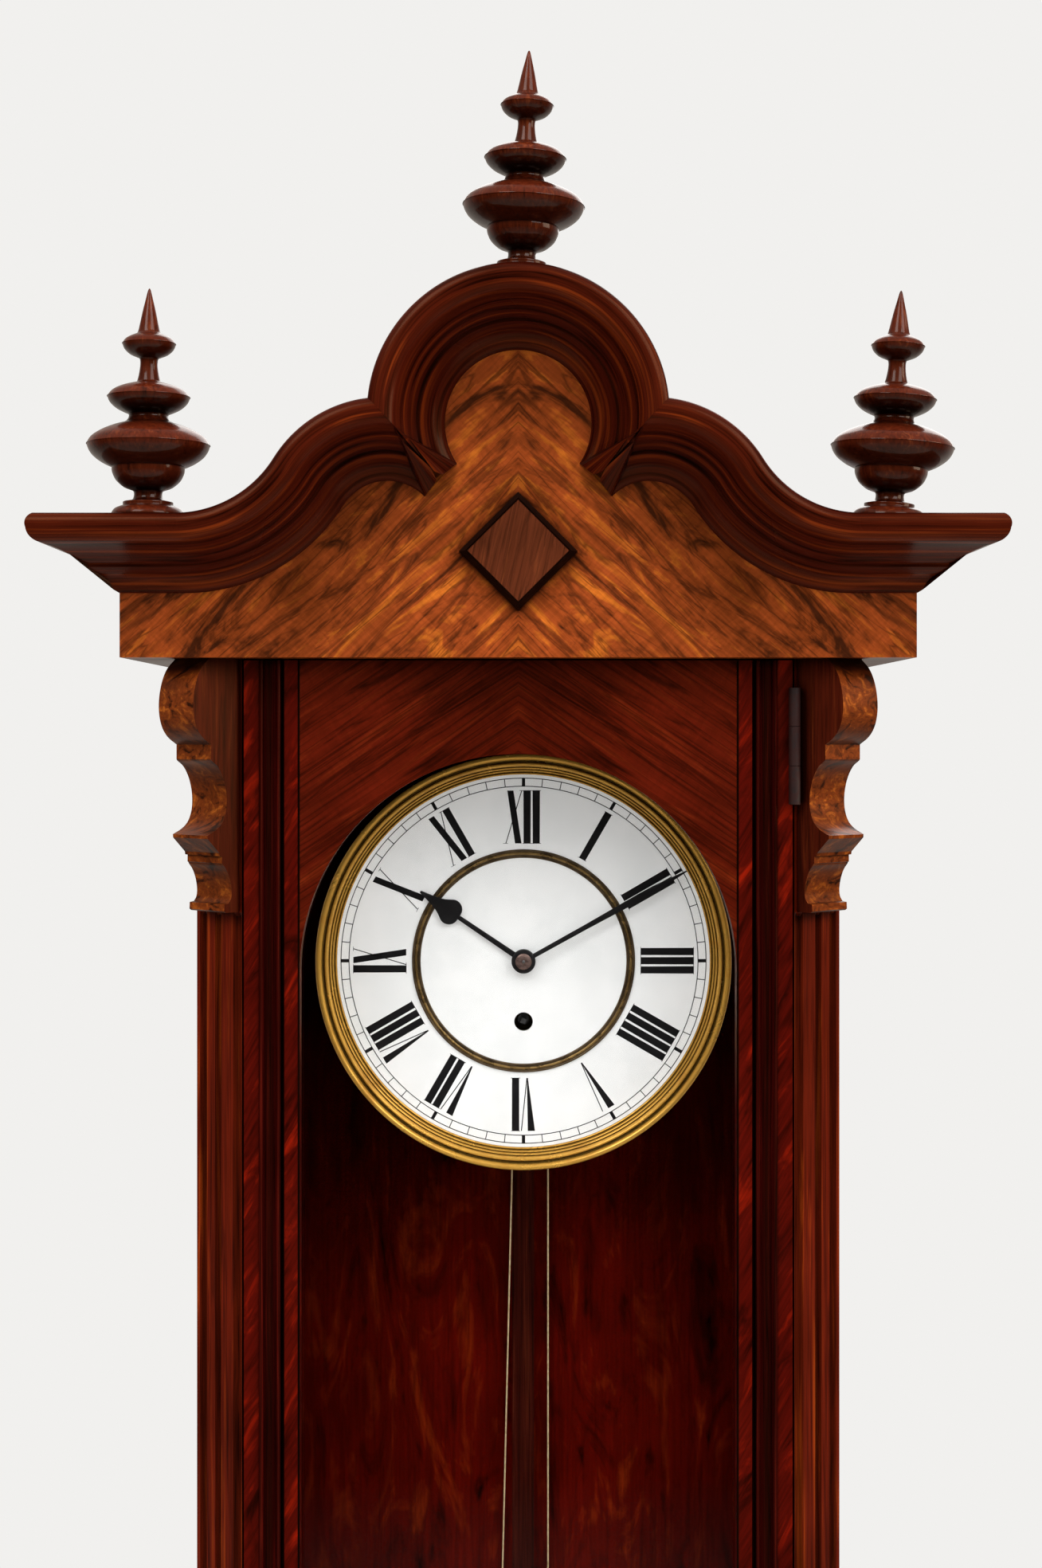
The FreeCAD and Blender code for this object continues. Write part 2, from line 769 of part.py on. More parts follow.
def circle_meeting(first, first_radius, second, second_radius):
    """The upper right meeting point of two circles."""
    gap = math.dist(first, second)
    along = (gap ** 2 + first_radius ** 2 - second_radius ** 2) / (2 * gap)
    off = math.sqrt(first_radius ** 2 - along ** 2)
    unit = ((second[0] - first[0]) / gap, (second[1] - first[1]) / gap)
    middle = (first[0] + unit[0] * along, first[1] + unit[1] * along)
    options = [(middle[0] + side * unit[1] * off, middle[1] - side * unit[0] * off) for side in (-1, 1)]
    return max(options)


def polar(centre, radius, angle):
    """A point at an angle in degrees on a circle."""
    turn = math.radians(angle)
    return centre[0] + radius * math.cos(turn), centre[1] + radius * math.sin(turn)


def angle_to(centre, point):
    """Angle in degrees from a centre to a point."""
    return math.degrees(math.atan2(point[1] - centre[1], point[0] - centre[0]))


def moulding_run(centre, radius, start, end, outward):
    """The cornice section turned about a centre between two angles in degrees."""
    depth = size("crown_front_depth")
    face = face_of([(radius + outward * up, -(depth + out)) for out, up in cornice_section()])
    face.rotate(Vector(0, 0, 0), Vector(0, 1, 0), -start)
    face.translate(Vector(centre[0], 0, centre[1] + top))
    return face.revolve(Vector(centre[0], 0, centre[1] + top), Vector(0, -1, 0), end - start)


def prism(points, low_depth, high_depth):
    """A flat polygon in the XZ plane, thickened between two depths."""
    corners = [Vector(x, -high_depth, z + top) for x, z in points]
    face = Part.Face(Part.makePolygon(corners + corners[:1]))
    return face.extrude(Vector(0, high_depth - low_depth, 0))


def cornice_points():
    """Named points of the cornice's right half: outer junction, saddle and the two ends."""
    parts = crown_geometry()
    high = size("cornice_height")
    shoulder, shoulder_radius = parts["shoulder"]
    arch, arch_radius = parts["arch"]
    outer = circle_meeting(shoulder, shoulder_radius + high, arch, arch_radius + high)
    saddle_gap = size("saddle_offset")
    saddle = min(
        circle_meeting(shoulder, shoulder_radius + saddle_gap, arch, arch_radius + saddle_gap),
        (shoulder[0], shoulder[1]),
        key=lambda point: point[0],
    )
    end_shoulder = polar(shoulder, shoulder_radius, 180 - size("cusp_angle"))
    end_arch = polar(arch, arch_radius, -size("arch_end_angle"))
    return outer, saddle, end_shoulder, end_arch


def make_crown():
    """Pediment board, cornice, side boards, returns and cap."""
    parts = crown_geometry()
    high = size("cornice_height")
    half = size("crown_half_width")
    front = size("crown_front_depth")
    back = front - size("crown_board_thickness")
    (concave, concave_radius) = parts["concave"]
    (shoulder, shoulder_radius) = parts["shoulder"]
    (arch, arch_radius) = parts["arch"]
    outer, saddle, end_shoulder, end_arch = cornice_points()
    flat_top = size("frieze_height") + high
    tangent_angle = angle_to(concave, shoulder)
    touch = polar(concave, concave_radius - high, tangent_angle)
    touch_middle = polar(concave, concave_radius - high, (tangent_angle + 360 - 90) / 2 if tangent_angle > 0
                         else (tangent_angle - 90) / 2)
    shoulder_start = angle_to(shoulder, touch)
    shoulder_end = angle_to(shoulder, outer)
    outline = [
        (-half, 0), (half, 0), (half, flat_top), (size("concave_start"), flat_top),
        (touch_middle, touch),
        (polar(shoulder, shoulder_radius + high, (shoulder_start + shoulder_end) / 2), outer),
        (polar(arch, arch_radius + high, 90), (-outer[0], outer[1])),
        (mirror_point(polar(shoulder, shoulder_radius + high, (shoulder_start + shoulder_end) / 2)),
         mirror_point(touch)),
        (mirror_point(touch_middle), (-size("concave_start"), flat_top)),
        (-half, flat_top),
    ]
    pediment = padded("pediment_blank", outline, "Size.crown_board_thickness")
    place(pediment, depth=f"-{back}", height=TOP)
    doc.recompute()
    seat = finial_seat()
    holes = [peg_hole(sign * size("finial_spread"), size("side_finial_depth"), flat_top) for sign in (-1, 1)]
    shape_part("pediment_board", pediment.Shape.cut(seat))

    # Cornice: flat runs, hollow and round shoulders, and the horseshoe arch
    span = 4 * half
    flat_run = flat_section(size("concave_start"), half + size("cornice_projection"), front)
    hollow = moulding_run(concave, concave_radius, tangent_angle, -90, -1)
    round_run = moulding_run(shoulder, shoulder_radius, angle_to(shoulder, concave), 180, 1)
    arch_run = moulding_run(arch, arch_radius, size("arch_run_start_angle"), size("arch_run_end_angle"), 1)
    near = front - overrun
    far = front + size("cornice_projection") + overrun
    shoulder_zone = prism([outer, saddle, end_shoulder, (end_shoulder[0], 0), (span, 0), (span, span),
                           (outer[0], span)], near, far)
    arch_zone = prism([outer, saddle, end_arch, mirror_point(end_arch), mirror_point(saddle),
                       mirror_point(outer), (-outer[0], span), (outer[0], span)], near, far)
    corner = mitre_zone(front)
    right = flat_run.common(corner).fuse([hollow, round_run.common(shoulder_zone)])
    left = right.mirror(Vector(0, 0, 0), Vector(1, 0, 0))
    cornice = right.fuse([left, arch_run.common(arch_zone)]).removeSplitter().cut([seat, *holes])
    shape_part("cornice_front", cornice)

    section = [(half + out, size("frieze_height") + up + top) for out, up in cornice_section()[:-1]]
    face = Part.Face(Part.makePolygon([Vector(x, 0, z) for x, z in section + section[:1]]))
    run = face.extrude(Vector(0, -(front + size("cornice_projection")), 0)).cut(corner)
    returns = [run, run.mirror(Vector(0, 0, 0), Vector(1, 0, 0))]
    shape_part("cornice_returns", Part.makeCompound(returns))

    boards = []
    for name, low, high_x in (
        ("left", "-Size.crown_half_width", f"-({CROWN_INNER})"),
        ("right", CROWN_INNER, "Size.crown_half_width"),
    ):
        boards.append(box(f"crown_side_{name}", [
            (low, high_x),
            ("-Size.crown_back_depth", "0"),
            (TOP, CAP_LOW),
        ]))
    boards.append(box("crown_back_rail", [
        (f"-({CROWN_INNER})", CROWN_INNER),
        ("-Size.crown_side_thickness", "0"),
        (f"{TOP} + Size.board_thickness", CAP_LOW),
    ]))
    group = doc.addObject("Part::Compound", "crown_frame")
    group.Links = boards
    keep(group, "crown_frame")
    cap = box("cap_board", [
        ("-Size.crown_half_width", "Size.crown_half_width"),
        ("-Size.crown_back_depth", "0"),
        (CAP_LOW, f"{CAP_LOW} + Size.cap_thickness"),
    ])
    keep(cap, "cap_board")


def flat_section(low_x, high_x, front):
    """A straight run of the cornice section along X."""
    points = [Vector(low_x, -(front + out), size("frieze_height") + up + top)
              for out, up in cornice_section()]
    return Part.Face(Part.makePolygon(points)).extrude(Vector(high_x - low_x, 0, 0))


def mitre_zone(front):
    """The space in front of the 45 degree mitre at the crown's right corner."""
    half = size("crown_half_width")
    reach = 2 * size("cornice_projection")
    low = top - reach
    corners = [(0, -front + reach), (half - reach, -front + reach), (half + reach, -front - reach),
               (0, -front - reach)]
    polygon = Part.makePolygon([Vector(x, y, low) for x, y in corners + corners[:1]])
    return Part.Face(polygon).extrude(Vector(0, 0, 4 * half))


def mirror_point(point):
    """A point mirrored in the middle plane."""
    return -point[0], point[1]


def peg_hole(across, depth, height):
    """Blind hole for a finial's peg under a flat at a height above the crown's foot."""
    radius = size("finial_peg_radius") + size("peg_clearance")
    length = size("finial_peg_length") + size("seat_gap")
    return Part.makeCylinder(radius, length, Vector(across, -depth, top + height - length))


def finial_seat():
    """Flat and peg hole for the centre finial on the arch."""
    crest = size("arch_z") + size("arch_radius") + size("cornice_height")
    flat = crest - size("finial_seat_depth")
    radius = size("finial_radius") * FINIAL_FOOT_SHARE + size("seat_gap")
    disc = Part.makeCylinder(radius, overrun, Vector(0, -size("centre_finial_depth"), top + flat))
    return disc.fuse(peg_hole(0, size("centre_finial_depth"), flat))


FINIAL_FOOT_SHARE = 0.60


def make_finials():
    """Three turned finials of stacked discs with pointed tips, each on a peg."""
    finial_shares = [
        (FINIAL_FOOT_SHARE, 0), (0.56, 0.034), (0.41, 0.05), (0.40, 0.066), (0.25, 0.072), (0.225, 0.10),
        (0.25, 0.13), (0.51, 0.162), (0.60, 0.205), (0.63, 0.23), (0.91, 0.262), (1.0, 0.295), (0.97, 0.325),
        (0.88, 0.348), (0.44, 0.388), (0.33, 0.425), (0.34, 0.452), (0.61, 0.482), (0.67, 0.506),
        (0.62, 0.53), (0.46, 0.556), (0.20, 0.572), (0.145, 0.65), (0.16, 0.69), (0.40, 0.733),
        (0.42, 0.752), (0.34, 0.772), (0.19, 0.792), (0.02, 1.0), (0, 1.0),
    ]
    outline = shared(finial_shares, size("finial_radius"), size("finial_height"))
    peg = size("finial_peg_radius")
    length = size("finial_peg_length")
    outline = [(0, -length), (peg, -length), (peg, 0)] + outline
    flat_top = size("frieze_height") + size("cornice_height")
    crest = size("arch_z") + size("arch_radius") + size("cornice_height") - size("finial_seat_depth")
    spots = {
        "finial_left": ("-Size.finial_spread", "-Size.side_finial_depth", flat_top),
        "finial_centre": ("0", "-Size.centre_finial_depth", crest),
        "finial_right": ("Size.finial_spread", "-Size.side_finial_depth", flat_top),
    }
    for label, (across, depth, height) in spots.items():
        finial = turned(label, outline)
        place(finial, across, depth, f"{TOP} + {height}")
        keep(finial, label)


def make_boss():
    """Diamond boss on the pediment, with a bevelled rim and a raised field."""
    reach = size("boss_half_diagonal")
    thick = size("boss_thickness")
    bevel = size("boss_bevel")
    front = size("crown_front_depth")
    height = size("boss_above_board") + top
    rim = reach - size("boss_rim")
    layers = []
    for radius, out in ((reach, 0), (reach, thick - bevel), (rim, thick)):
        corners = [Vector(x * radius, -(front + out), height + z * radius)
                   for x, z in ((1, 0), (0, 1), (-1, 0), (0, -1), (1, 0))]
        layers.append(Part.makePolygon(corners))
    body = Part.makeLoft(layers[:2], True, True).fuse(Part.makeLoft(layers[1:], True, True))
    field = [Vector(x * rim * FIELD_SHARE, -(front + thick), height + z * rim * FIELD_SHARE)
             for x, z in ((1, 0), (0, 1), (-1, 0), (0, -1), (1, 0))]
    raised = Part.Face(Part.makePolygon(field)).extrude(Vector(0, bevel / 2, 0))
    shape_part("diamond_boss", body.cut(raised).removeSplitter())


FIELD_SHARE = 0.82


# Door: stiles, arched top, bottom rail, mouldings, pane, hinges and lock
def make_stiles():
    """Rebated stiles with a groove for the dark moulding, let in for hinges and lock."""
    outer = size("door_half_width")
    inner = outer - size("stile_width")
    front = size("case_depth")
    back = front - size("door_thickness")
    lip = back + size("door_rebate_depth")
    groove_outer = outer - size("crossband_width")
    groove_inner = groove_outer - size("door_moulding_width")
    sink = front - size("door_moulding_sink")
    height = f"({TOP}) - ({FLOOR}) - 2 * Size.door_gap"
    for name, sign in (("left", -1), ("right", 1)):
        outline = [
            (sign * outer, -front), (sign * outer, -back), (sign * (inner + size("door_lip")), -back),
            (sign * (inner + size("door_lip")), -lip), (sign * inner, -lip), (sign * inner, -front),
            (sign * groove_inner, -front), (sign * groove_inner, -sink), (sign * groove_outer, -sink),
            (sign * groove_outer, -front),
        ]
        blank = padded(f"stile_blank_{name}", outline, height, "XY_Plane")
        place(blank, height=f"{FLOOR} + Size.door_gap")
        rise = size("door_moulding_rise")
        bead = [
            (sign * groove_outer, -sink), (sign * groove_outer, -front - rise),
            (sign * (groove_outer - rise), -front - rise),
            ((sign * (groove_outer + groove_inner) / 2, -sink - rise),
             (sign * (groove_inner + rise), -front - rise)),
            (sign * groove_inner, -front - rise), (sign * groove_inner, -sink),
        ]
        strip = padded(f"moulding_blank_{name}", bead, height, "XY_Plane")
        place(strip, height=f"{FLOOR} + Size.door_gap")
        doc.recompute()
        stile = blank.Shape.copy()
        moulding = strip.Shape.copy()
        if sign > 0:
            for height_z in hinge_heights():
                stile = stile.cut(leaf_block(outer - size("leaf_thickness"), outer, height_z))
            mouldings = [moulding]
        else:
            stile = stile.cut(lock_case()).cut(lock_tube(size("escutcheon_radius")))
            mouldings = [moulding.cut(lock_tube(size("escutcheon_radius")))]
        shape_part(f"door_stile_{name}", stile)
        MOULDINGS.extend(mouldings)
    shape_part("door_mouldings", Part.makeCompound(MOULDINGS))


MOULDINGS = []


def lock_case():
    """The lock's box, let into the back of the left stile."""
    back = size("case_depth") - size("door_thickness")
    low = Vector(-size("door_half_width"), -back - size("lock_thickness"),
                 dial_z - size("lock_drop") - size("lock_height") / 2)
    return Part.makeBox(size("lock_width"), size("lock_thickness"), size("lock_height"), low)


def lock_tube(radius):
    """A round bar along Y at the keyhole, from the lock to the moulding's face."""
    across = -(size("door_half_width") - size("crossband_width") - size("door_moulding_width") / 2)
    front = size("case_depth") + size("door_moulding_rise")
    back = size("case_depth") - size("door_thickness") + size("lock_thickness")
    return rod(radius, front, back, across, dial_z - size("lock_drop"))


def make_lock():
    """Lock case with its keyhole liner, and the bolt that slides in it."""
    case = lock_case().fuse(lock_tube(size("escutcheon_radius")))
    keyway = rod(size("keyhole_radius"), size("case_depth") + overrun,
                 size("case_depth") - size("door_thickness") + size("lock_thickness") / 2
                 + size("bolt_thickness") / 2 + size("lock_plate_thickness"),
                 -(size("door_half_width") - size("crossband_width") - size("door_moulding_width") / 2),
                 dial_z - size("lock_drop"))
    channel = bolt_bar(size("pivot_clearance"), overrun)
    shape_part("door_lock", case.cut(keyway).cut(channel))
    shape_part("lock_bolt", bolt_bar(0, 0))


def bolt_bar(clearance, reach):
    """The bolt at rest inside the lock, grown by a clearance and run out at the edge."""
    depth = size("case_depth") - size("door_thickness") + size("lock_thickness") / 2
    height = size("bolt_height") + 2 * clearance
    thick = size("bolt_thickness") + 2 * clearance
    low = Vector(-size("door_half_width") - reach, -depth - thick / 2,
                 dial_z - size("lock_drop") - height / 2)
    return Part.makeBox(size("bolt_length") + reach + clearance, thick, height, low)


def make_rails():
    """Arched panel over the dial, bottom rail and the pane behind them."""
    inner = size("door_half_width") - size("stile_width")
    lip = size("door_lip")
    front = size("case_depth")
    back = front - size("door_thickness")
    pane_front = back + size("door_rebate_depth")
    door_top = top - size("door_gap")
    outline = [
        (-inner, dial_z), ((0, dial_z + inner), (inner, dial_z)), (inner, door_top), (-inner, door_top),
    ]
    panel = padded("spandrel_blank", outline, "Size.door_thickness - Size.door_rebate_depth")
    place(panel, depth=f"-{pane_front}")
    doc.recompute()
    rail_height = door_top - dial_z - inner - 2 * lip
    rail = Part.makeBox(2 * (inner + lip), size("door_rebate_depth"), rail_height,
                        Vector(-inner - lip, -pane_front, door_top - rail_height))
    shape_part("door_spandrel", panel.Shape.fuse(rail).removeSplitter())
    door_low = floor_z + size("door_gap")
    rail_top = door_low + size("bottom_rail_height")
    bottom = Part.makeBox(2 * inner, size("door_thickness"), size("bottom_rail_height"),
                          Vector(-inner, -front, door_low))
    sides = Part.makeBox(2 * (inner + lip), size("door_rebate_depth"), size("bottom_rail_height") - lip,
                         Vector(-inner - lip, -pane_front, door_low))
    rebate = Part.makeBox(2 * (inner + lip), size("door_rebate_depth"), lip + overrun,
                          Vector(-inner - lip, -pane_front, rail_top - lip))
    shape_part("door_bottom_rail", bottom.fuse(sides).cut(rebate).removeSplitter())
    pane_low = rail_top - lip
    pane = doc.addObject("Part::Box", "door_pane")
    bind(pane, Length="2 * (Size.door_half_width - Size.stile_width + Size.door_lip)",
         Width="Size.pane_thickness")
    pane.Height = door_top - rail_height - pane_low
    place(pane, "-(Size.door_half_width - Size.stile_width + Size.door_lip)", f"-{pane_front}",
          f"{pane_low}")
    keep(pane, "door_glass")


def make_hinges():
    """Two butt hinges: case leaves with pins, and door leaves with end knuckles."""
    axis_x, axis_y = hinge_axis()
    post_x = size("case_half_width") - size("corner_cant")
    door_x = size("door_half_width")
    leaf = size("leaf_thickness")
    length = size("knuckle_length")
    gap = size("seat_gap") / 2
    case_pieces = []
    door_pieces = []
    for middle in hinge_heights():
        low = middle - 1.5 * length
        pin = Part.makeCylinder(size("hinge_pin_radius"), 3 * length, Vector(axis_x, axis_y, low))
        barrel = Part.makeCylinder(size("knuckle_radius"), length, Vector(axis_x, axis_y, low + length))
        neck = Part.makeBox(leaf, size("knuckle_out"), length, Vector(post_x, axis_y, low + length))
        case_pieces.append(leaf_block(post_x, post_x + leaf,
                                      middle).fuse([pin, barrel, neck]).removeSplitter())
        door_leaf = leaf_block(door_x - leaf, door_x, middle)
        for start in (low, low + 2 * length + gap):
            knuckle = Part.makeCylinder(size("knuckle_radius"), length - gap, Vector(axis_x, axis_y, start))
            neck = Part.makeBox(leaf, size("knuckle_out"), length - gap,
                                Vector(door_x - leaf, axis_y, start))
            door_leaf = door_leaf.fuse([knuckle, neck])
        bore = Part.makeCylinder(size("hinge_pin_radius") + size("pivot_clearance"),
                                 3 * length + 2 * overrun,
                                 Vector(axis_x, axis_y, low - overrun))
        door_pieces.append(door_leaf.cut(bore).removeSplitter())
    shape_part("hinge_case_leaves", Part.makeCompound(case_pieces))
    shape_part("hinge_door_leaves", Part.makeCompound(door_pieces))


# Dial and bezel
def disc_with_holes(radius, holes, front, thickness):
    """A round plate in the XZ plane about the dial centre, with (x, z, radius) holes."""
    plate = rod(radius, front, front - thickness, centre_x, dial_z)
    for across, up, hole in holes:
        plate = plate.cut(rod(hole, front + overrun, front - thickness - overrun, centre_x + across,
                              dial_z + up))
    return plate


def make_dial():
    """Brass plate on three feet, enamel ring and centre, dark joint ring and bezel."""
    face = size("dial_depth")
    back = face - size("enamel_thickness")
    holes = [(0, 0, size("dial_hole_radius")), (0, -size("winding_drop"), size("winding_hole_radius"))]
    plate = disc_with_holes(size("dial_radius"), holes, back, size("dial_plate_thickness"))
    feet = []
    front_plate = size("front_plate_depth") + size("plate_thickness")
    for turn in (0, 120, 240):
        angle = math.radians(size("dial_foot_angle") + turn)
        across = centre_x + size("dial_foot_spread") * math.cos(angle)
        up = dial_z + size("dial_foot_spread") * math.sin(angle)
        feet.append(rod(size("dial_foot_radius"), back - size("dial_plate_thickness") / 2, front_plate,
                        across, up))
    shape_part("dial_plate", plate.fuse(feet).removeSplitter())
    inner = size("centre_disc_radius")
    shape_part("dial_centre", disc_with_holes(inner, holes, face, size("enamel_thickness")))
    ring_hole = [(0, 0, inner + size("ring_clearance"))]
    shape_part("chapter_ring", disc_with_holes(size("dial_radius"), ring_hole, face,
                                               size("enamel_thickness")))
    joint = disc_with_holes(size("ring_outer_radius"), [(0, 0, size("ring_inner_radius"))],
                            face + size("ring_thickness"), size("ring_thickness"))
    shape_part("dial_ring", joint)
    inner_edge = size("bezel_inner_radius")
    across = size("bezel_outer_radius") - inner_edge
    high = size("bezel_height") - size("enamel_thickness") - size("dial_plate_thickness")
    # Bezel section as shares of its width and rise, from the inner edge outwards
    bezel_shares = [(0, 0), (0, 0.08), (0.42, 0.52), (0.54, 0.78), (0.70, 0.68), (0.84, 0.96), (0.96, 0.92),
                    (1.0, 0.80), (1.0, 0)]
    section = shared(bezel_shares, across, high)
    skirt = size("bezel_skirt")
    back_step = -size("enamel_thickness") - size("dial_plate_thickness")
    outline = [(inner_edge + out, up) for out, up in section]
    seat_radius = size("dial_radius") + size("ring_clearance")
    outline += [(inner_edge + across, back_step), (inner_edge + across - skirt, back_step),
                (inner_edge + across - skirt, back_step + skirt), (seat_radius, back_step + skirt),
                (seat_radius, 0)]
    ring = turned("bezel", outline)
    ring.Placement.Rotation = FreeCAD.Rotation(Vector(1, 0, 0), 90)
    place(ring, "Size.movement_offset", "-Size.dial_depth", DIAL)
    keep(ring, "bezel")


# Movement frame
def train_centres():
    """Arbor centres in the XZ plane, worked out from the meshing distances."""
    drum = (centre_x, dial_z - size("winding_drop"))
    centre = (centre_x, dial_z)
    escape = (centre_x, dial_z + size("escape_height"))
    great_distance = mesh_distance("great", "intermediate_pinion", "great_module")
    middle_distance = mesh_distance("intermediate", "centre_pinion", "intermediate_module")
    third_distance = mesh_distance("centre", "third_pinion", "train_module")
    escape_distance = mesh_distance("third", "escape_pinion", "train_module")
    anchor_rise = size("escape_radius") / math.cos(math.radians(size("pallet_angle")))
    minute_distance = mesh_distance("minute", "cannon", "cannon_module")
    return {
        "drum": drum,
        "centre": centre,
        "intermediate": side_meeting(drum, great_distance, centre, middle_distance, -1),
        "third": side_meeting(centre, third_distance, escape, escape_distance, 1),
        "escape": escape,
        "anchor": (centre_x, escape[1] + anchor_rise),
        "minute": polar(centre, minute_distance, size("minute_wheel_angle")),
    }


def mesh_distance(wheel, pinion, module):
    """Distance between the arbors of a wheel and a pinion."""
    teeth = TEETH[f"{wheel}_teeth"] + TEETH[f"{pinion}_teeth"]
    return teeth / 2 * size(module) + size("train_mesh_clearance")


def side_meeting(first, first_radius, second, second_radius, side):
    """Meeting point of two circles stacked along Z, on the left (-1) or right (1)."""
    gap = second[1] - first[1]
    up = (first_radius ** 2 - second_radius ** 2 + gap ** 2) / (2 * gap)
    across = math.sqrt(first_radius ** 2 - up ** 2)
    return first[0] + side * across, first[1] + up


def frame_plate(depth, holes):
    """A movement plate with rounded lower corners and (x, z, radius) holes."""
    half = size("plate_half_width")
    high = size("plate_top")
    low = size("plate_bottom")
    bend = size("plate_corner_radius")
    slope = bend * (1 - math.sqrt(0.5))
    outline = [
        (half, high), (-half, high), (-half, -low + bend),
        ((-half + slope, -low + slope), (-half + bend, -low)), (half - bend, -low),
        ((half - slope, -low + slope), (half, -low + bend)),
    ]
    plate = slab(face_of(outline), 0, size("plate_thickness"))
    plate.translate(Vector(centre_x, -depth, dial_z))
    for across, up, radius in holes:
        plate = plate.cut(rod(radius, depth + overrun, depth - size("plate_thickness") - overrun, across,
                              up))
    return plate


def pillar_spots():
    """Places of the four pillars that join the plates."""
    across = size("plate_half_width") - size("pillar_inset")
    return [(centre_x + side * across, dial_z + up) for side in (-1, 1)
            for up in (size("plate_top") - size("pillar_inset"),
                       -size("plate_bottom") + size("pillar_inset"))]


def make_frame():
    """Front and back plates, pillars with the line's stud, and the bracket on the backboard."""
    centres = train_centres()
    clear = size("pivot_clearance")
    small = size("pivot_radius") + clear
    holes = [(*centres[name], small) for name in ("intermediate", "third", "escape", "anchor")]
    back_holes = holes + [(*centres["drum"], size("arbor_radius") + clear), (*centres["centre"], small)]
    front_holes = holes + [
        (*centres["drum"], size("winding_arbor_radius") + clear),
        (*centres["centre"], size("centre_pivot_radius") + clear),
    ]
    thick = size("plate_thickness")
    front = size("front_plate_depth")
    back = size("back_plate_depth")
    minute_post = rod(size("stud_post_radius"), size("hour_wheel_depth") + size("pipe_clearance"),
                      front + thick,
                      *centres["minute"])
    shape_part("front_plate", frame_plate(front + thick, front_holes).fuse(minute_post))
    shape_part("back_plate", frame_plate(back, back_holes))
    pillars = []
    waist = size("pillar_waist")
    radius = size("pillar_radius")
    for across, up in pillar_spots():
        middle = rod(waist, front - radius, back + radius, across, up)
        ends = [rod(radius, front, front - radius, across, up), rod(radius, back + radius, back, across, up)]
        pillars.append(middle.fuse(ends))
    stud_x, stud_z = line_stud()
    pillars.append(rod(size("stud_radius"), front, back, stud_x, stud_z))
    shape_part("plate_pillars", Part.makeCompound(pillars))

    back_face = size("back_thickness")
    mount = back_face + size("bracket_plate_thickness")
    rear = back - thick
    anchor_z = centres["anchor"][1]
    width = size("bracket_arm_spread") + size("bracket_arm_thickness")
    low = dial_z - size("bracket_drop")
    base = Part.makeBox(2 * width, mount - back_face, anchor_z + size("bracket_rise") - low,
                        Vector(centre_x - width, -mount, low))
    window = Part.makeBox(2 * size("bracket_window"), overrun * 4, anchor_z - low - size("bracket_window"),
                          Vector(centre_x - size("bracket_window"), -mount - overrun,
                                 low + size("bracket_window")))
    pieces = []
    for side in (-1, 1):
        across = centre_x + side * size("bracket_arm_spread") - size("bracket_arm_thickness") / 2
        pieces.append(Part.makeBox(size("bracket_arm_thickness"), rear - mount, size("bracket_arm_height"),
                                   Vector(across, -rear, dial_z - size("bracket_arm_height") / 2)))
    chops = Part.makeBox(size("chops_width"), size("pendulum_depth") + size("chops_depth") / 2 - mount,
                         size("chops_height"),
                         Vector(centre_x - size("chops_width") / 2,
                                -size("pendulum_depth") - size("chops_depth") / 2,
                                anchor_z + size("spring_gap")))
    shape_part("movement_bracket", base.cut(window).fuse(pieces + [chops]).removeSplitter())


def line_stud():
    """Place of the stud that holds the line's fixed end."""
    return centre_x - size("stud_offset"), dial_z - size("stud_drop")


# Wheels
def gear_outline(teeth, module, phase, root_share, tip_share):
    """Outline of a toothed wheel; the shares are the tooth's widths over the pitch."""
    pitch_radius = teeth * module / 2
    root = pitch_radius - TOOTH_ROOT_SHARE * module
    tip = pitch_radius + TOOTH_TIP_SHARE * module
    step = 360 / teeth
    points = []
    for index in range(teeth):
        middle = phase + index * step
        for radius, share in ((root, -root_share), (tip, -tip_share), (tip, tip_share), (root, root_share)):
            points.append(polar((0, 0), radius, middle + share * step / 2))
    return points


TOOTH_ROOT_SHARE = 1.15
TOOTH_TIP_SHARE = 0.85
WHEEL_ROOT_SHARE = 0.56
WHEEL_TIP_SHARE = 0.16
LEAF_ROOT_SHARE = 0.50
LEAF_TIP_SHARE = 0.14


def spoke_holes(rim_radius, count=5):
    """Outlines of the openings between a wheel's spokes."""
    inner = size("hub_radius") + size("spoke_width") / 2
    outer = rim_radius
    holes = []
    for index in range(count):
        start = index * 360 / count
        end = start + 360 / count
        low = math.degrees(size("spoke_width") / 2 / inner)
        high = math.degrees(size("spoke_width") / 2 / outer)
        holes.append([
            polar((0, 0), inner, start + low),
            polar((0, 0), outer, start + high),
            (polar((0, 0), outer, (start + end) / 2), polar((0, 0), outer, end - high)),
            polar((0, 0), inner, end - low),
            (polar((0, 0), inner, (start + end) / 2), polar((0, 0), inner, start + low)),
        ])
    return holes


def wheel_shape(name, module, phase, centre, front, spokes=True):
    """A spoked brass wheel about a centre, with its front at a depth."""
    teeth = TEETH[f"{name}_teeth"]
    outline = gear_outline(teeth, size(module), phase, WHEEL_ROOT_SHARE, WHEEL_TIP_SHARE)
    rim = teeth * size(module) / 2 - TOOTH_ROOT_SHARE * size(module) - size("rim_width")
    holes = spoke_holes(rim) if spokes else []
    shape = slab(face_of(outline, holes), front, size("wheel_thickness"))
    shape.translate(Vector(centre[0], 0, centre[1]))
    return shape


def pinion_shape(name, module, phase, centre, front, length):
    """A pinion about a centre, with its front at a depth."""
    outline = gear_outline(TEETH[f"{name}_teeth"], size(module), phase, LEAF_ROOT_SHARE, LEAF_TIP_SHARE)
    shape = slab(face_of(outline), front, length)
    shape.translate(Vector(centre[0], 0, centre[1]))
    return shape


def mesh_phase(start, end):
    """Angle from one centre to another, where the driving wheel has a tooth."""
    return angle_to(start, end)


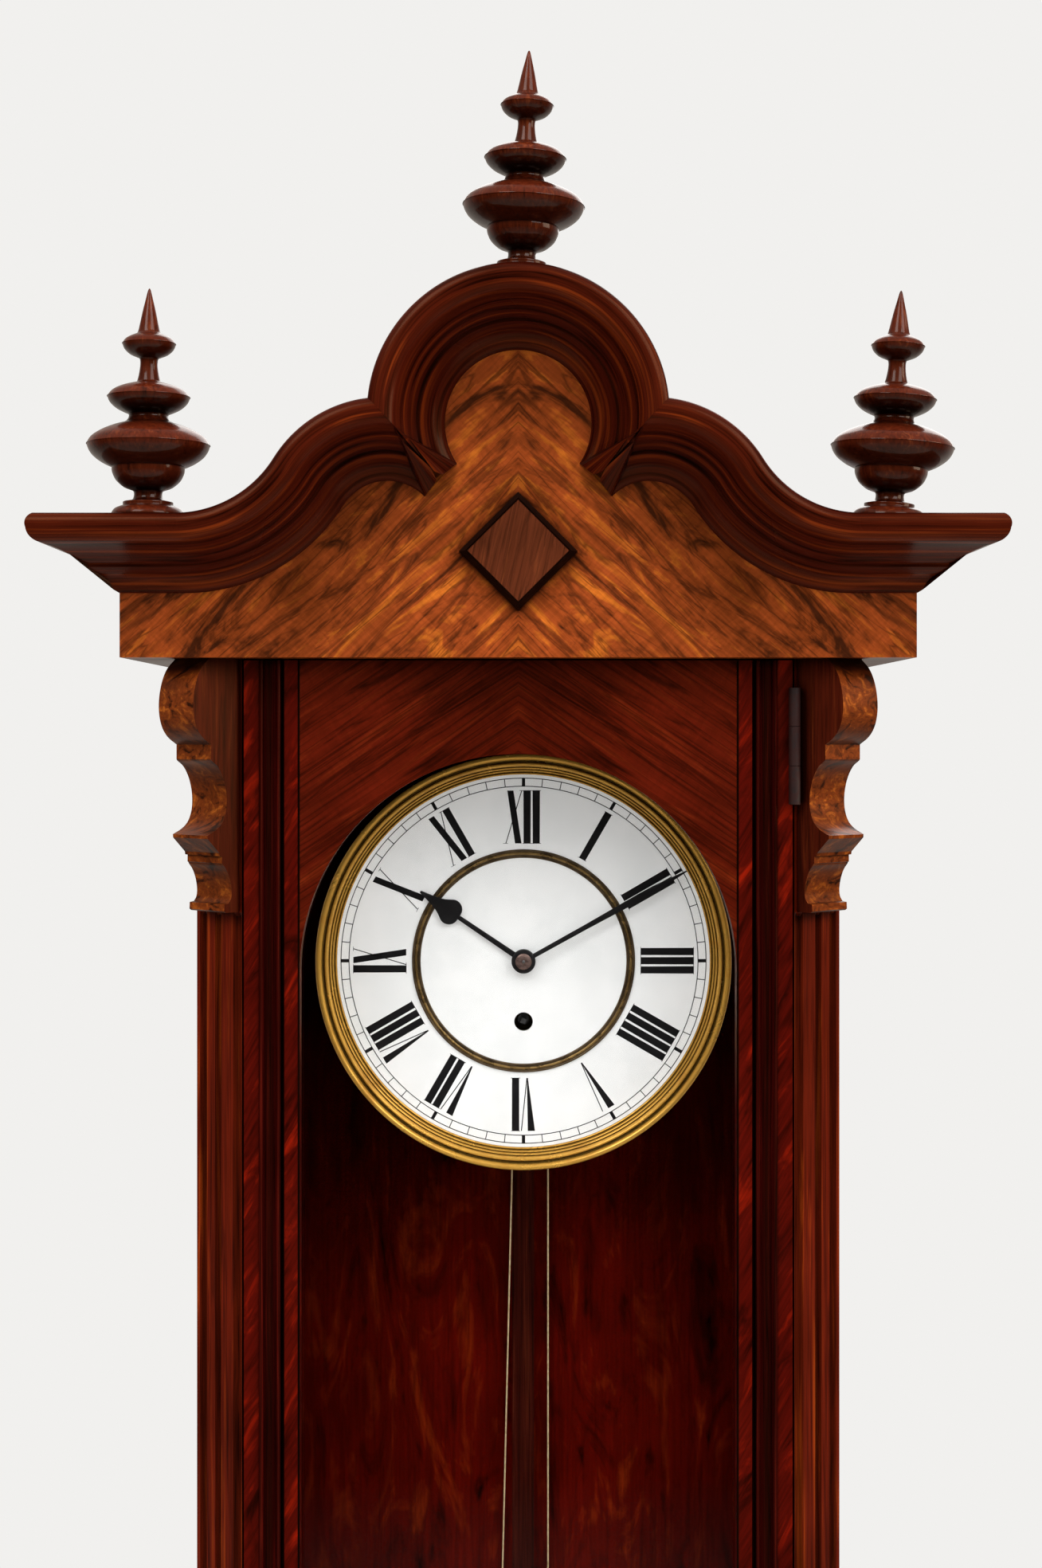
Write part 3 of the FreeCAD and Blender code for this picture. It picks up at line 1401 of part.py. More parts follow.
def gap_phase(name, start, end):
    """Phase that puts a gap of a pinion towards the wheel it meshes with."""
    return angle_to(start, end) + 180 / TEETH[f"{name}_teeth"]


def arbor(centre, front_reach=0, back_reach=0, front_radius=None):
    """An arbor between the plates with pivots that run in them."""
    front = size("front_plate_depth") - size("shake")
    back = size("back_plate_depth") + size("shake")
    thick = size("plate_thickness")
    body = rod(size("arbor_radius"), front, back, *centre)
    pivots = [
        rod(front_radius or size("pivot_radius"), front + thick + front_reach, front, *centre),
        rod(size("pivot_radius"), back, back - thick - back_reach, *centre),
    ]
    return body.fuse(pivots)


def make_train():
    """Great, intermediate, centre, third and escape wheels on their arbors."""
    spots = train_centres()
    drum, centre = spots["drum"], spots["centre"]
    middle, third, escape = spots["intermediate"], spots["third"], spots["escape"]
    face = size("pinion_face")

    great = wheel_shape("great", "great_module", mesh_phase(drum, middle), drum, size("great_wheel_depth"))
    bore = rod(size("winding_arbor_radius") + size("pivot_clearance"), size("great_wheel_depth") + overrun,
               size("great_wheel_depth") - overrun, *drum)
    hub = rod(size("great_hub_radius"), size("great_wheel_depth"),
              size("great_wheel_depth") - size("wheel_thickness"),
              *drum)
    shape_part("great_wheel", great.fuse(hub).cut(bore).removeSplitter())

    def with_arbor(label, centre_spot, pieces, **arbor_options):
        solid = arbor(centre_spot, **arbor_options).fuse(pieces)
        shape_part(label, solid.removeSplitter())

    depth = size("intermediate_wheel_depth")
    pinion_front = size("great_wheel_depth") + (face - size("wheel_thickness")) / 2
    with_arbor("intermediate_wheel", middle, [
        wheel_shape("intermediate", "intermediate_module", mesh_phase(middle, centre), middle, depth),
        rod(size("hub_radius") + size("spoke_width"), depth, depth - size("wheel_thickness"), *middle),
        pinion_shape("intermediate_pinion", "great_module", gap_phase("intermediate_pinion", middle, drum),
                     middle,
                     pinion_front, face),
    ])
    depth = size("centre_wheel_depth")
    pinion_front = size("intermediate_wheel_depth") + (face - size("wheel_thickness")) / 2
    long_arbor = size("minute_hand_depth") + size("hand_thickness") + size("hand_cap_thickness")
    long_arbor -= size("front_plate_depth") + size("plate_thickness") - size("shake")
    with_arbor("centre_wheel", centre, [
        wheel_shape("centre", "train_module", mesh_phase(centre, third), centre, depth),
        rod(size("hub_radius") + size("spoke_width"), depth, depth - size("wheel_thickness"), *centre),
        pinion_shape("centre_pinion", "intermediate_module", gap_phase("centre_pinion", centre, middle),
                     centre,
                     pinion_front, face),
    ], front_reach=long_arbor, front_radius=size("centre_pivot_radius"))
    depth = size("third_wheel_depth")
    pinion_front = size("centre_wheel_depth") + (face - size("wheel_thickness")) / 2
    with_arbor("third_wheel", third, [
        wheel_shape("third", "train_module", mesh_phase(third, escape), third, depth),
        rod(size("hub_radius") + size("spoke_width"), depth, depth - size("wheel_thickness"), *third),
        pinion_shape("third_pinion", "train_module", gap_phase("third_pinion", third, centre), third,
                     pinion_front,
                     face),
    ])
    depth = size("escape_wheel_depth")
    pinion_front = size("third_wheel_depth") + (face - size("wheel_thickness")) / 2
    with_arbor("escape_wheel", escape, [
        escape_shape(escape, depth),
        rod(size("hub_radius") + size("spoke_width"), depth, depth - size("wheel_thickness"), *escape),
        pinion_shape("escape_pinion", "train_module", gap_phase("escape_pinion", escape, third), escape,
                     pinion_front, face),
    ])


def escape_shape(centre, front):
    """Escape wheel with slender pointed teeth, upright on one face."""
    teeth = TEETH["escape_teeth"]
    tip = size("escape_radius")
    root = tip - size("escape_tooth")
    step = 360 / teeth
    points = []
    for index in range(teeth):
        start = 90 + index * step
        for radius, share in ((root, -0.30), (tip, -ESCAPE_TIP_SHARE), (tip, 0), (root, ESCAPE_TIP_SHARE)):
            points.append(polar((0, 0), radius, start + share * step))
    face = face_of(points, spoke_holes(root - size("rim_width") / 2))
    shape = slab(face, front, size("wheel_thickness"))
    shape.translate(Vector(centre[0], 0, centre[1]))
    return shape


ESCAPE_TIP_SHARE = 0.05


def make_anchor():
    """Dead-beat anchor, its arbor, and the crutch with a fork round the pendulum rod."""
    spots = train_centres()
    escape, pivot = spots["escape"], spots["anchor"]
    front = size("escape_wheel_depth") + (size("anchor_thickness") - size("wheel_thickness")) / 2
    thick = size("anchor_thickness")
    pieces = []
    for side in (-1, 1):
        angle = 90 - side * size("pallet_angle")
        tip = size("escape_radius") + size("pallet_clearance")
        low = polar(escape, tip, angle)
        high = polar(escape, tip + size("pallet_length"), angle)
        along = (math.cos(math.radians(angle)), math.sin(math.radians(angle)))
        across = (-along[1], along[0])
        half = size("pallet_width") / 2
        arm = size("anchor_arm_width") / 2
        nib = [(low[0] + across[0] * half, low[1] + across[1] * half),
               (low[0] - across[0] * half, low[1] - across[1] * half),
               (high[0] - across[0] * half, high[1] - across[1] * half),
               (high[0] + across[0] * half, high[1] + across[1] * half)]
        reach = (high[0] - pivot[0], high[1] - pivot[1])
        length = math.hypot(*reach)
        sideways = (-reach[1] / length * arm, reach[0] / length * arm)
        limb = [(pivot[0] + sideways[0], pivot[1] + sideways[1]),
                (pivot[0] - sideways[0], pivot[1] - sideways[1]),
                (high[0] - sideways[0] / 2, high[1] - sideways[1] / 2),
                (high[0] + sideways[0] / 2, high[1] + sideways[1] / 2)]
        pieces += [slab(face_of(nib), front, thick), slab(face_of(limb), front, thick)]
    pieces.append(rod(size("hub_radius"), front, front - thick, *pivot))
    back = size("back_plate_depth") - size("plate_thickness")
    crutch_front = back - size("crutch_gap")
    crutch_thick = size("crutch_thickness")
    arm = Part.makeBox(size("crutch_width"), crutch_thick, size("crutch_length"),
                       Vector(pivot[0] - size("crutch_width") / 2, -crutch_front,
                              pivot[1] - size("crutch_length")))
    prong_x = size("rod_width") / 2 + size("fork_gap")
    bridge = Part.makeBox(2 * (prong_x + size("fork_prong")), crutch_thick, size("crutch_width"),
                          Vector(pivot[0] - prong_x - size("fork_prong"), -crutch_front,
                                 pivot[1] - size("crutch_length")))
    fork_back = size("pendulum_depth") - size("rod_thickness") / 2 - size("fork_prong")
    prongs = [Part.makeBox(size("fork_prong"), crutch_front - fork_back, size("crutch_width"),
                           Vector(pivot[0] + start, -crutch_front, pivot[1] - size("crutch_length")))
              for start in (prong_x, -prong_x - size("fork_prong"))]
    boss = rod(size("hub_radius"), crutch_front, crutch_front - crutch_thick, *pivot)
    solid = arbor(pivot, back_reach=size("crutch_gap") + crutch_thick)
    shape_part("anchor_crutch", solid.fuse(pieces + [arm, bridge, boss] + prongs).removeSplitter())


# Motion work and hands
def make_motion():
    """Cannon pinion, minute wheel and hour wheel in front of the plate."""
    spots = train_centres()
    centre, minute = spots["centre"], spots["minute"]
    thick = size("motion_thickness")
    clear = size("pipe_clearance")
    depth = size("cannon_depth")
    cannon = pinion_shape("cannon", "cannon_module", gap_phase("cannon", centre, minute), centre, depth,
                          thick)
    pipe = rod(size("cannon_pipe_radius"), size("minute_hand_depth"), depth - thick, *centre)
    bore = rod(size("centre_pivot_radius"), size("minute_hand_depth") + overrun, depth - thick - overrun,
               *centre)
    shape_part("cannon_pinion", cannon.fuse(pipe).cut(bore).removeSplitter())

    outline = gear_outline(TEETH["minute_teeth"], size("cannon_module"), mesh_phase(minute, centre),
                           WHEEL_ROOT_SHARE,
                           WHEEL_TIP_SHARE)
    wheel = slab(face_of(outline), depth, thick)
    wheel.translate(Vector(minute[0], 0, minute[1]))
    hour_depth = size("hour_wheel_depth")
    small = pinion_shape("minute_pinion", "motion_module", gap_phase("minute_pinion", minute, centre),
                         minute,
                         hour_depth + clear, hour_depth + clear - depth)
    post_hole = rod(size("stud_post_radius") + size("pivot_clearance"), hour_depth + overrun,
                    depth - thick - overrun,
                    *minute)
    shape_part("minute_wheel", wheel.fuse(small).cut(post_hole).removeSplitter())

    outline = gear_outline(TEETH["hour_teeth"], size("motion_module"), mesh_phase(centre, minute),
                           WHEEL_ROOT_SHARE,
                           WHEEL_TIP_SHARE)
    hour = slab(face_of(outline), hour_depth, thick)
    hour.translate(Vector(centre[0], 0, centre[1]))
    hour_pipe = rod(size("hour_pipe_radius"), size("hour_hand_depth") + size("hand_thickness"),
                    hour_depth - thick,
                    *centre)
    hour_bore = rod(size("cannon_pipe_radius") + clear, size("hour_hand_depth") + overrun,
                    hour_depth - thick - overrun, *centre)
    shape_part("hour_wheel", hour.fuse(hour_pipe).cut(hour_bore).removeSplitter())


def make_hands():
    """Pear-shaped hour hand and slender pointed minute hand, set at ten past ten."""
    wide = size("hour_hand_half_width")
    long_reach = size("hour_hand_length")
    hub = size("hand_hub_radius")
    stem_share = 0.18
    # Right edge of the pear, as shares of its half width and the hand's length
    pear_shares = [(stem_share, 0.628), ((0.98, 0.668), (0.90, 0.755)), ((0.50, 0.83), (0.30, 0.90)),
                   (0.07, 1.0)]
    right = shared(pear_shares, wide, long_reach)
    hub_edge = math.sqrt(hub ** 2 - (wide * stem_share) ** 2)
    outline = [(wide * stem_share, hub_edge)] + right
    outline = outline + reversed_left(outline)
    hand = hand_shape(outline, hub, size("hour_pipe_radius"))
    shape_part("hour_hand", hand, hand_placement(size("hour_hand_depth"), size("hour_hand_angle")))
    wide = size("minute_hand_half_width")
    reach = size("minute_hand_length")
    slim_shares = [(0.52, hub / reach * 0.98), (1.0, 0.72), (0.96, 0.80), (0.18, 1.0)]
    right = shared(slim_shares, wide, reach)
    outline = right + reversed_left(right)
    hand = hand_shape(outline, hub, size("centre_pivot_radius"))
    shape_part("minute_hand", hand, hand_placement(size("minute_hand_depth"), size("minute_hand_angle")))


def reversed_left(right):
    """Mirrors the right edge of a hand, going back down to the hub."""
    stops = [item[1] if isinstance(item[0], tuple) else item for item in right]
    left = [(-stops[-1][0], stops[-1][1])]
    for index in range(len(right) - 1, 0, -1):
        item = right[index]
        end = (-stops[index - 1][0], stops[index - 1][1])
        if isinstance(item[0], tuple):
            left.append(((-item[0][0], item[0][1]), end))
        else:
            left.append(end)
    return left


def hand_shape(outline, hub, bore):
    """A hand with a round hub and a bore, pointing to twelve."""
    thick = size("hand_thickness")
    blade = slab(face_of(outline), 0, thick)
    disc = Part.makeCylinder(hub, thick, Vector(0, 0, 0), Vector(0, 1, 0))
    hole = Part.makeCylinder(bore, thick + 2 * overrun, Vector(0, -overrun, 0), Vector(0, 1, 0))
    return blade.fuse(disc).cut(hole).removeSplitter()


def hand_placement(depth, angle):
    """Place of a hand turned clockwise from twelve, with its back at a depth."""
    position = Vector(centre_x, -depth - size("hand_thickness"), dial_z)
    return FreeCAD.Placement(position, FreeCAD.Rotation(Vector(0, 1, 0), angle))


# Winding drum, line, pulley and weight
def make_drum():
    """Grooved drum between flanges on the winding arbor, with its square at the front."""
    drum = train_centres()["drum"]
    front = size("drum_front_depth")
    back = size("drum_back_depth")
    flange = size("drum_flange_thickness")
    core = size("drum_line_radius") - size("line_radius") - size("line_gap")
    barrel = rod(core, front, back, *drum)
    flanges = [rod(size("drum_flange_radius"), start, start - flange, *drum) for start in (front,
                                                                                           back + flange)]
    plate_front = size("front_plate_depth") + size("plate_thickness")
    shaft = rod(size("winding_arbor_radius"), plate_front, front - flange, *drum)
    rear_end = size("back_plate_depth") - size("plate_thickness")
    rear = rod(size("arbor_radius"), back + flange, rear_end, *drum)
    side = size("winding_square")
    square_front = size("dial_depth") - size("square_inset")
    square = Part.makeBox(side, square_front - plate_front + overrun, side,
                          Vector(drum[0] - side / 2, -square_front, drum[1] - side / 2))
    square.rotate(Vector(drum[0], 0, drum[1]), Vector(0, 1, 0), size("square_turn"))
    shape_part("winding_drum", barrel.fuse(flanges + [shaft, rear, square]).removeSplitter())


def pulley_centre():
    """Centre of the weight's pulley at rest, under the drum's line."""
    across = centre_x + size("drum_line_radius") - size("pulley_line_radius")
    return across, dial_z - size("pulley_drop")


def make_line():
    """Gut line: round the drum, down to the pulley, under it and up to the stud."""
    drum = train_centres()["drum"]
    pulley = pulley_centre()
    stud = line_stud()
    drum_radius = size("drum_line_radius")
    pulley_radius = size("pulley_line_radius")
    depth = size("line_depth")
    gap = math.dist(stud, pulley)
    lean = math.degrees(math.asin(pulley_radius / gap))
    to_stud = angle_to(pulley, stud)
    leave = to_stud + 90 - lean
    left = polar(pulley, pulley_radius, leave)
    tie = size("stud_radius") + size("line_radius") + size("line_gap")
    share = 1 - tie / math.dist(left, stud)
    end = (left[0] + (stud[0] - left[0]) * share, left[1] + (stud[1] - left[1]) * share)
    start = polar(drum, drum_radius, size("drum_wrap"))
    route = [
        Part.Arc(point3(start, depth), point3(polar(drum, drum_radius, size("drum_wrap") / 2), depth),
                 point3(polar(drum, drum_radius, 0), depth)),
        Part.LineSegment(point3(polar(drum, drum_radius, 0), depth),
                         point3(polar(pulley, pulley_radius, 0), depth)),
        Part.Arc(point3(polar(pulley, pulley_radius, 0), depth),
                 point3(polar(pulley, pulley_radius, (leave - 360) / 2), depth), point3(left, depth)),
        Part.LineSegment(point3(left, depth), point3(end, depth)),
    ]
    wire = Part.Wire([edge.toShape() for edge in route])
    heading = polar((0, 0), 1, size("drum_wrap") - 90)
    ring = Part.Wire(Part.makeCircle(size("line_radius"), point3(start, depth),
                                     Vector(heading[0], 0, heading[1])))
    tube = wire.makePipeShell([ring], True, False)
    length = sum(edge.toShape().Length for edge in route)
    expected = math.pi * size("line_radius") ** 2 * length
    print(f"gut_line: volume {tube.Volume:.2f}, section times length {expected:.2f}, "
          f"radii {drum_radius} and {pulley_radius}")
    shape_part("gut_line", tube)


def point3(point, depth):
    """A point of the XZ plane at a depth."""
    return Vector(point[0], -depth, point[1])


def make_weight():
    """Pulley in its stirrup, and the brass weight that hangs from it by an eye."""
    pulley = pulley_centre()
    depth = size("line_depth")
    half = size("pulley_thickness") / 2
    groove = size("pulley_line_radius") - size("line_radius") - size("line_gap")
    rim = size("pulley_rim_radius")
    bore = size("pulley_pin_radius") + size("pivot_clearance")
    floor_half = size("pulley_groove") / 2
    outline = [(bore, -half), (rim, -half), (groove, -floor_half), (groove, floor_half), (rim, half),
               (bore, half)]
    wheel = turned("weight_pulley", outline)
    wheel.Placement.Rotation = FreeCAD.Rotation(Vector(1, 0, 0), 90)
    place(wheel, f"{pulley[0]}", "-Size.line_depth", f"{DIAL} - Size.pulley_drop")
    keep(wheel, "weight_pulley")

    plate = size("stirrup_thickness")
    gap = size("stirrup_gap")
    width = size("stirrup_width")
    drop = size("stirrup_side_drop")
    front = depth + half + gap + plate
    back = depth - half - gap - plate
    cheeks = []
    for start in (front, depth - half - gap):
        cheek = [(-width / 2, 0), ((0, width / 2), (width / 2, 0)), (width / 2, -drop),
                 ((0, -drop - width / 2), (-width / 2, -drop))]
        shape = slab(face_of(cheek), start, plate)
        shape.translate(Vector(pulley[0], 0, pulley[1]))
        cheeks.append(shape)
    pin = rod(size("pulley_pin_radius"), front, back, *pulley)
    bar = rod(size("stirrup_bar_radius"), front, back, pulley[0], pulley[1] - drop)
    shape_part("pulley_stirrup", cheeks[0].fuse([cheeks[1], pin, bar]).removeSplitter())

    eye = size("weight_loop_radius")
    wire = size("weight_loop_wire")
    eye_z = pulley[1] - drop - (eye - wire) + size("stirrup_bar_radius") + size("line_gap")
    loop = rod(eye + wire, depth + wire, depth - wire, pulley[0], eye_z)
    loop = loop.cut(rod(eye - wire, depth + wire, depth - wire, pulley[0], eye_z))
    high = eye_z - eye - wire - size("weight_neck")
    # Shell section as shares of its radius and height, with rolled edges
    shell_shares = [(0, 0), (0.90, 0), (0.90, 0.012), (1.0, 0.022), (1.0, 0.978), (0.90, 0.988), (0.90, 1.0),
                    (0.20, 1.0), (0, 1.0)]
    shell = face_of(shared(shell_shares, size("weight_radius"), size("weight_height")))
    shell.rotate(Vector(0, 0, 0), Vector(1, 0, 0), 90)
    shell = shell.revolve(Vector(0, 0, 0), Vector(0, 0, 1), 360)
    shell.translate(Vector(pulley[0], -depth, high - size("weight_height")))
    stem = Part.makeCylinder(wire, eye_z - eye - high, Vector(pulley[0], -depth, high))
    shape_part("weight_shell", shell.fuse([loop, stem]).removeSplitter())


# Pendulum
def make_pendulum():
    """Suspension spring, wooden rod, lens bob and rating nut."""
    pivot = train_centres()["anchor"]
    depth = size("pendulum_depth")
    spring_low = pivot[1] - size("spring_length")
    spring = Part.makeBox(size("spring_thickness"), size("spring_width"), size("spring_length"),
                          Vector(centre_x - size("spring_thickness") / 2, -depth - size("spring_width") / 2,
                                 spring_low))
    shape_part("suspension_spring", spring)
    bob_z = pivot[1] - size("bob_drop")
    rod_top = pivot[1] - size("spring_free")
    low = bob_z - size("bob_radius") + size("rod_short")
    width = size("rod_width")
    thick = size("rod_thickness")
    bar = Part.makeBox(width, thick, rod_top - low, Vector(centre_x - width / 2, -depth - thick / 2, low))
    screw_length = low - (bob_z - size("bob_radius") - size("rod_below_bob"))
    screw = Part.makeCylinder(size("nut_screw_radius"), screw_length,
                              Vector(centre_x, -depth, low - screw_length))
    shape_part("pendulum_rod", bar.fuse(screw).cut(spring).removeSplitter())
    half = size("bob_thickness") / 2
    rim = size("bob_rim") / 2
    radius = size("bob_radius")
    bulge = half * LENS_SHARE
    outline = [
        (0, -half), ((radius / 2, -bulge), (radius, -rim)), (radius, rim), ((radius / 2, bulge), (0, half)),
    ]
    face = face_of(flat_points(outline, LENS_CHORDS))
    lens = face.revolve(Vector(0, 0, 0), Vector(0, 1, 0), 360)
    lens.translate(Vector(centre_x, -depth, bob_z))
    slot_gap = size("rod_slot_clearance")
    slot = Part.makeBox(width + 2 * slot_gap, thick + 2 * slot_gap, 4 * radius,
                        Vector(centre_x - width / 2 - slot_gap, -depth - thick / 2 - slot_gap,
                               bob_z - 2 * radius))
    shape_part("pendulum_bob", lens.cut(slot))
    contact = math.sqrt(radius ** 2 - (width / 2 + slot_gap) ** 2)
    nut_top = bob_z - contact
    nut = Part.makeCylinder(size("nut_radius"), size("nut_height"),
                            Vector(centre_x, -depth, nut_top - size("nut_height") - size("line_gap")))
    nut = nut.cut(Part.makeCylinder(size("nut_screw_radius"), 4 * size("nut_height"),
                                    Vector(centre_x, -depth, nut_top - 3 * size("nut_height"))))
    shape_part("rating_nut", nut)


LENS_SHARE = 0.78
LENS_CHORDS = 3


make_back()
make_hanger()
make_sides()
make_posts()
make_boards()
make_tail()
make_corbels()
make_crown()
make_finials()
make_boss()
make_stiles()
make_lock()
make_rails()
make_hinges()
make_dial()
make_frame()
make_train()
make_anchor()
make_motion()
make_hands()
make_drum()
make_line()
make_weight()
make_pendulum()
doc.recompute()

for obj in doc.Objects:
    if "Invalid" in obj.State or "Error" in obj.State:
        raise RuntimeError(f"{obj.Label} failed: {obj.State}")
for label, obj in subparts.items():
    if obj.Shape.isNull() or not obj.Shape.isValid() or not obj.Shape.Solids:
        raise RuntimeError(f"{label} has no valid solid")

os.makedirs("parts", exist_ok=True)
for label, obj in subparts.items():
    obj.Shape.exportStep(f"parts/{label}.step")
    print(label, len(obj.Shape.Solids), round(obj.Shape.Volume, 1))
print(len(subparts), "sub-parts")
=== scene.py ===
"""Looks of a Vienna regulator wall clock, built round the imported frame."""
import json
import logging
import math
from dataclasses import dataclass
from enum import Enum

import bmesh
import bpy
import numpy as np
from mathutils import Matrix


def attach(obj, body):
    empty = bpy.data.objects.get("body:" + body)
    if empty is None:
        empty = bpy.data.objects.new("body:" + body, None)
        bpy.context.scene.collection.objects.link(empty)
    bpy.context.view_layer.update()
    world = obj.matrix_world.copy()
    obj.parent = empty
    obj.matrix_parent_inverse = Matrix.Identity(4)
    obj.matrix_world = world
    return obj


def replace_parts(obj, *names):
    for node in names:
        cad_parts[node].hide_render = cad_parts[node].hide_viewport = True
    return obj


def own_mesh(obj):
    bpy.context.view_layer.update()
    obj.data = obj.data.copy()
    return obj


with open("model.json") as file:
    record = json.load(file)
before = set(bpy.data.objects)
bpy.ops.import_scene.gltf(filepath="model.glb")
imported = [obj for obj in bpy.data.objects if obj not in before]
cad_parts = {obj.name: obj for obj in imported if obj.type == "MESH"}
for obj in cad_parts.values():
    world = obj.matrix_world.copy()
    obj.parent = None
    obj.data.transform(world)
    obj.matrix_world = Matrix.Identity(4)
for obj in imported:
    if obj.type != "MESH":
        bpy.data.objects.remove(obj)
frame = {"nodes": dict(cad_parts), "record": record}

Tree = bpy.types.NodeTree
Socket = bpy.types.NodeSocket
LOG = logging.getLogger("regulator")
MM = 0.001
PHOTO_SIZE = (1308, 1968)
DIAL_CENTRE = (2.3, -109.5)
DIAL_DEPTH = 97.0


def linear(code: str) -> tuple[float, float, float, float]:
    """Turns an sRGB hex colour into linear red, green, blue and alpha.

    Args:
        code: Colour such as "#A8521A".

    Returns:
        Four linear values.
    """
    parts = [int(code[i:i + 2], 16) / 255 for i in (1, 3, 5)]
    light = [c / 12.92 if c <= 0.04045 else ((c + 0.055) / 1.055) ** 2.4 for c in parts]
    return (*light, 1.0)


def add_node(tree: Tree, kind: str, settings: dict | None = None,
             links: dict | None = None) -> bpy.types.Node:
    """Adds one shader node with its settings and links.

    Args:
        tree: The node tree.
        kind: Blender's node type.
        settings: Values by attribute name, or by socket name or number.
        links: Output sockets by input name or number.

    Returns:
        The new node.
    """
    node = tree.nodes.new(kind)
    for key, value in (settings or {}).items():
        if isinstance(key, str) and hasattr(node, key) and key not in node.inputs:
            setattr(node, key, value)
        else:
            node.inputs[key].default_value = value
    for key, source in (links or {}).items():
        tree.links.new(source, node.inputs[key])
    return node


def ramp(tree: Tree, source: Socket, stops: list[tuple[float, str]]) -> Socket:
    """Adds a colour ramp and returns its colour.

    Args:
        tree: The node tree.
        source: The value that drives the ramp.
        stops: Places from 0 to 1, each with a hex colour.

    Returns:
        The ramp's colour output.
    """
    node = add_node(tree, "ShaderNodeValToRGB", links={"Fac": source})
    points = node.color_ramp.elements
    points[0].position, points[0].color = stops[0][0], linear(stops[0][1])
    points[1].position, points[1].color = stops[-1][0], linear(stops[-1][1])
    for place, code in stops[1:-1]:
        points.new(place).color = linear(code)
    return node.outputs["Color"]


def new_material(name: str) -> tuple[bpy.types.Material, Tree]:
    """Makes an empty node material and returns it with its tree."""
    material = bpy.data.materials.new(name)
    material.use_nodes = True
    material.node_tree.nodes.clear()
    return material, material.node_tree


class Match(Enum):
    """How a veneer's two leaves meet."""

    NONE = "plain"
    BOOK = "book"


class Grain(Enum):
    """What the grain follows: the object's own axes, or the path that a moulding runs along."""

    OBJECT = "object"
    PATH = "path"


def math_node(tree: Tree, operation: str, *values: Socket | float) -> Socket:
    """Adds one sum and returns its result.

    Args:
        tree: The node tree.
        operation: Blender's name of the sum.
        values: Sockets or plain numbers, in order.

    Returns:
        The result's socket.
    """
    settings = {i: v for i, v in enumerate(values) if isinstance(v, (int, float))}
    links = {i: v for i, v in enumerate(values) if not isinstance(v, (int, float))}
    return add_node(tree, "ShaderNodeMath", {"operation": operation, **settings}, links).outputs[0]


def remap(tree: Tree, value: Socket, source: tuple[float, float], target: tuple[float, float]) -> Socket:
    """Carries a value from one span to another, held at both ends.

    Args:
        tree: The node tree.
        value: The value's socket.
        source: The span that it comes from.
        target: The span that it goes to.

    Returns:
        The result's socket.
    """
    return add_node(tree, "ShaderNodeMapRange", {
        "From Min": source[0], "From Max": source[1], "To Min": target[0], "To Max": target[1]},
        {"Value": value}).outputs[0]


def noise(tree: Tree, place: Socket, scale: float, detail: float, roughness: float = 0.5,
          distortion: float = 0.0) -> Socket:
    """Cloudy noise.

    Args:
        tree: The node tree.
        place: Where the point lies.
        scale: Clouds for each unit of length.
        detail: Octaves.
        roughness: How strong the finer octaves are.
        distortion: How far the clouds are swirled.

    Returns:
        The noise's value.
    """
    return add_node(tree, "ShaderNodeTexNoise", {
        "Scale": scale, "Detail": detail, "Roughness": roughness, "Distortion": distortion},
        {"Vector": place}).outputs["Fac"]


def bump(tree: Tree, height: Socket, strength: float, distance: float) -> Socket:
    """A surface's small unevenness, as a normal, from its height, strength and depth in metres."""
    return add_node(tree, "ShaderNodeBump", {"Strength": strength, "Distance": distance},
                    {"Height": height}).outputs[0]


def surface(tree: Tree, settings: dict, links: dict) -> None:
    """Ends a material with the shader that has these settings and links."""
    shader = add_node(tree, "ShaderNodeBsdfPrincipled", settings, links)
    add_node(tree, "ShaderNodeOutputMaterial", links={"Surface": shader.outputs[0]})


def own_place(tree: Tree) -> Socket:
    """Where a point lies on its object, in metres."""
    return add_node(tree, "ShaderNodeTexCoord").outputs["Object"]


def crease_shade(tree: Tree, depth_mm: float, darkest: float) -> Socket:
    """How open a point is, as painted shade: a dark value in creases and recesses where shade falls, partly
    old polish and dust, to 1 outside.

    Args:
        tree: The node tree.
        depth_mm: How far a wall still darkens a point.
        darkest: The value in the deepest crease.

    Returns:
        The value's socket.
    """
    near = add_node(tree, "ShaderNodeAmbientOcclusion", {"samples": 4, "Distance": depth_mm * MM})
    return remap(tree, near.outputs["AO"], (0.50, 0.92), (darkest, 1.0))


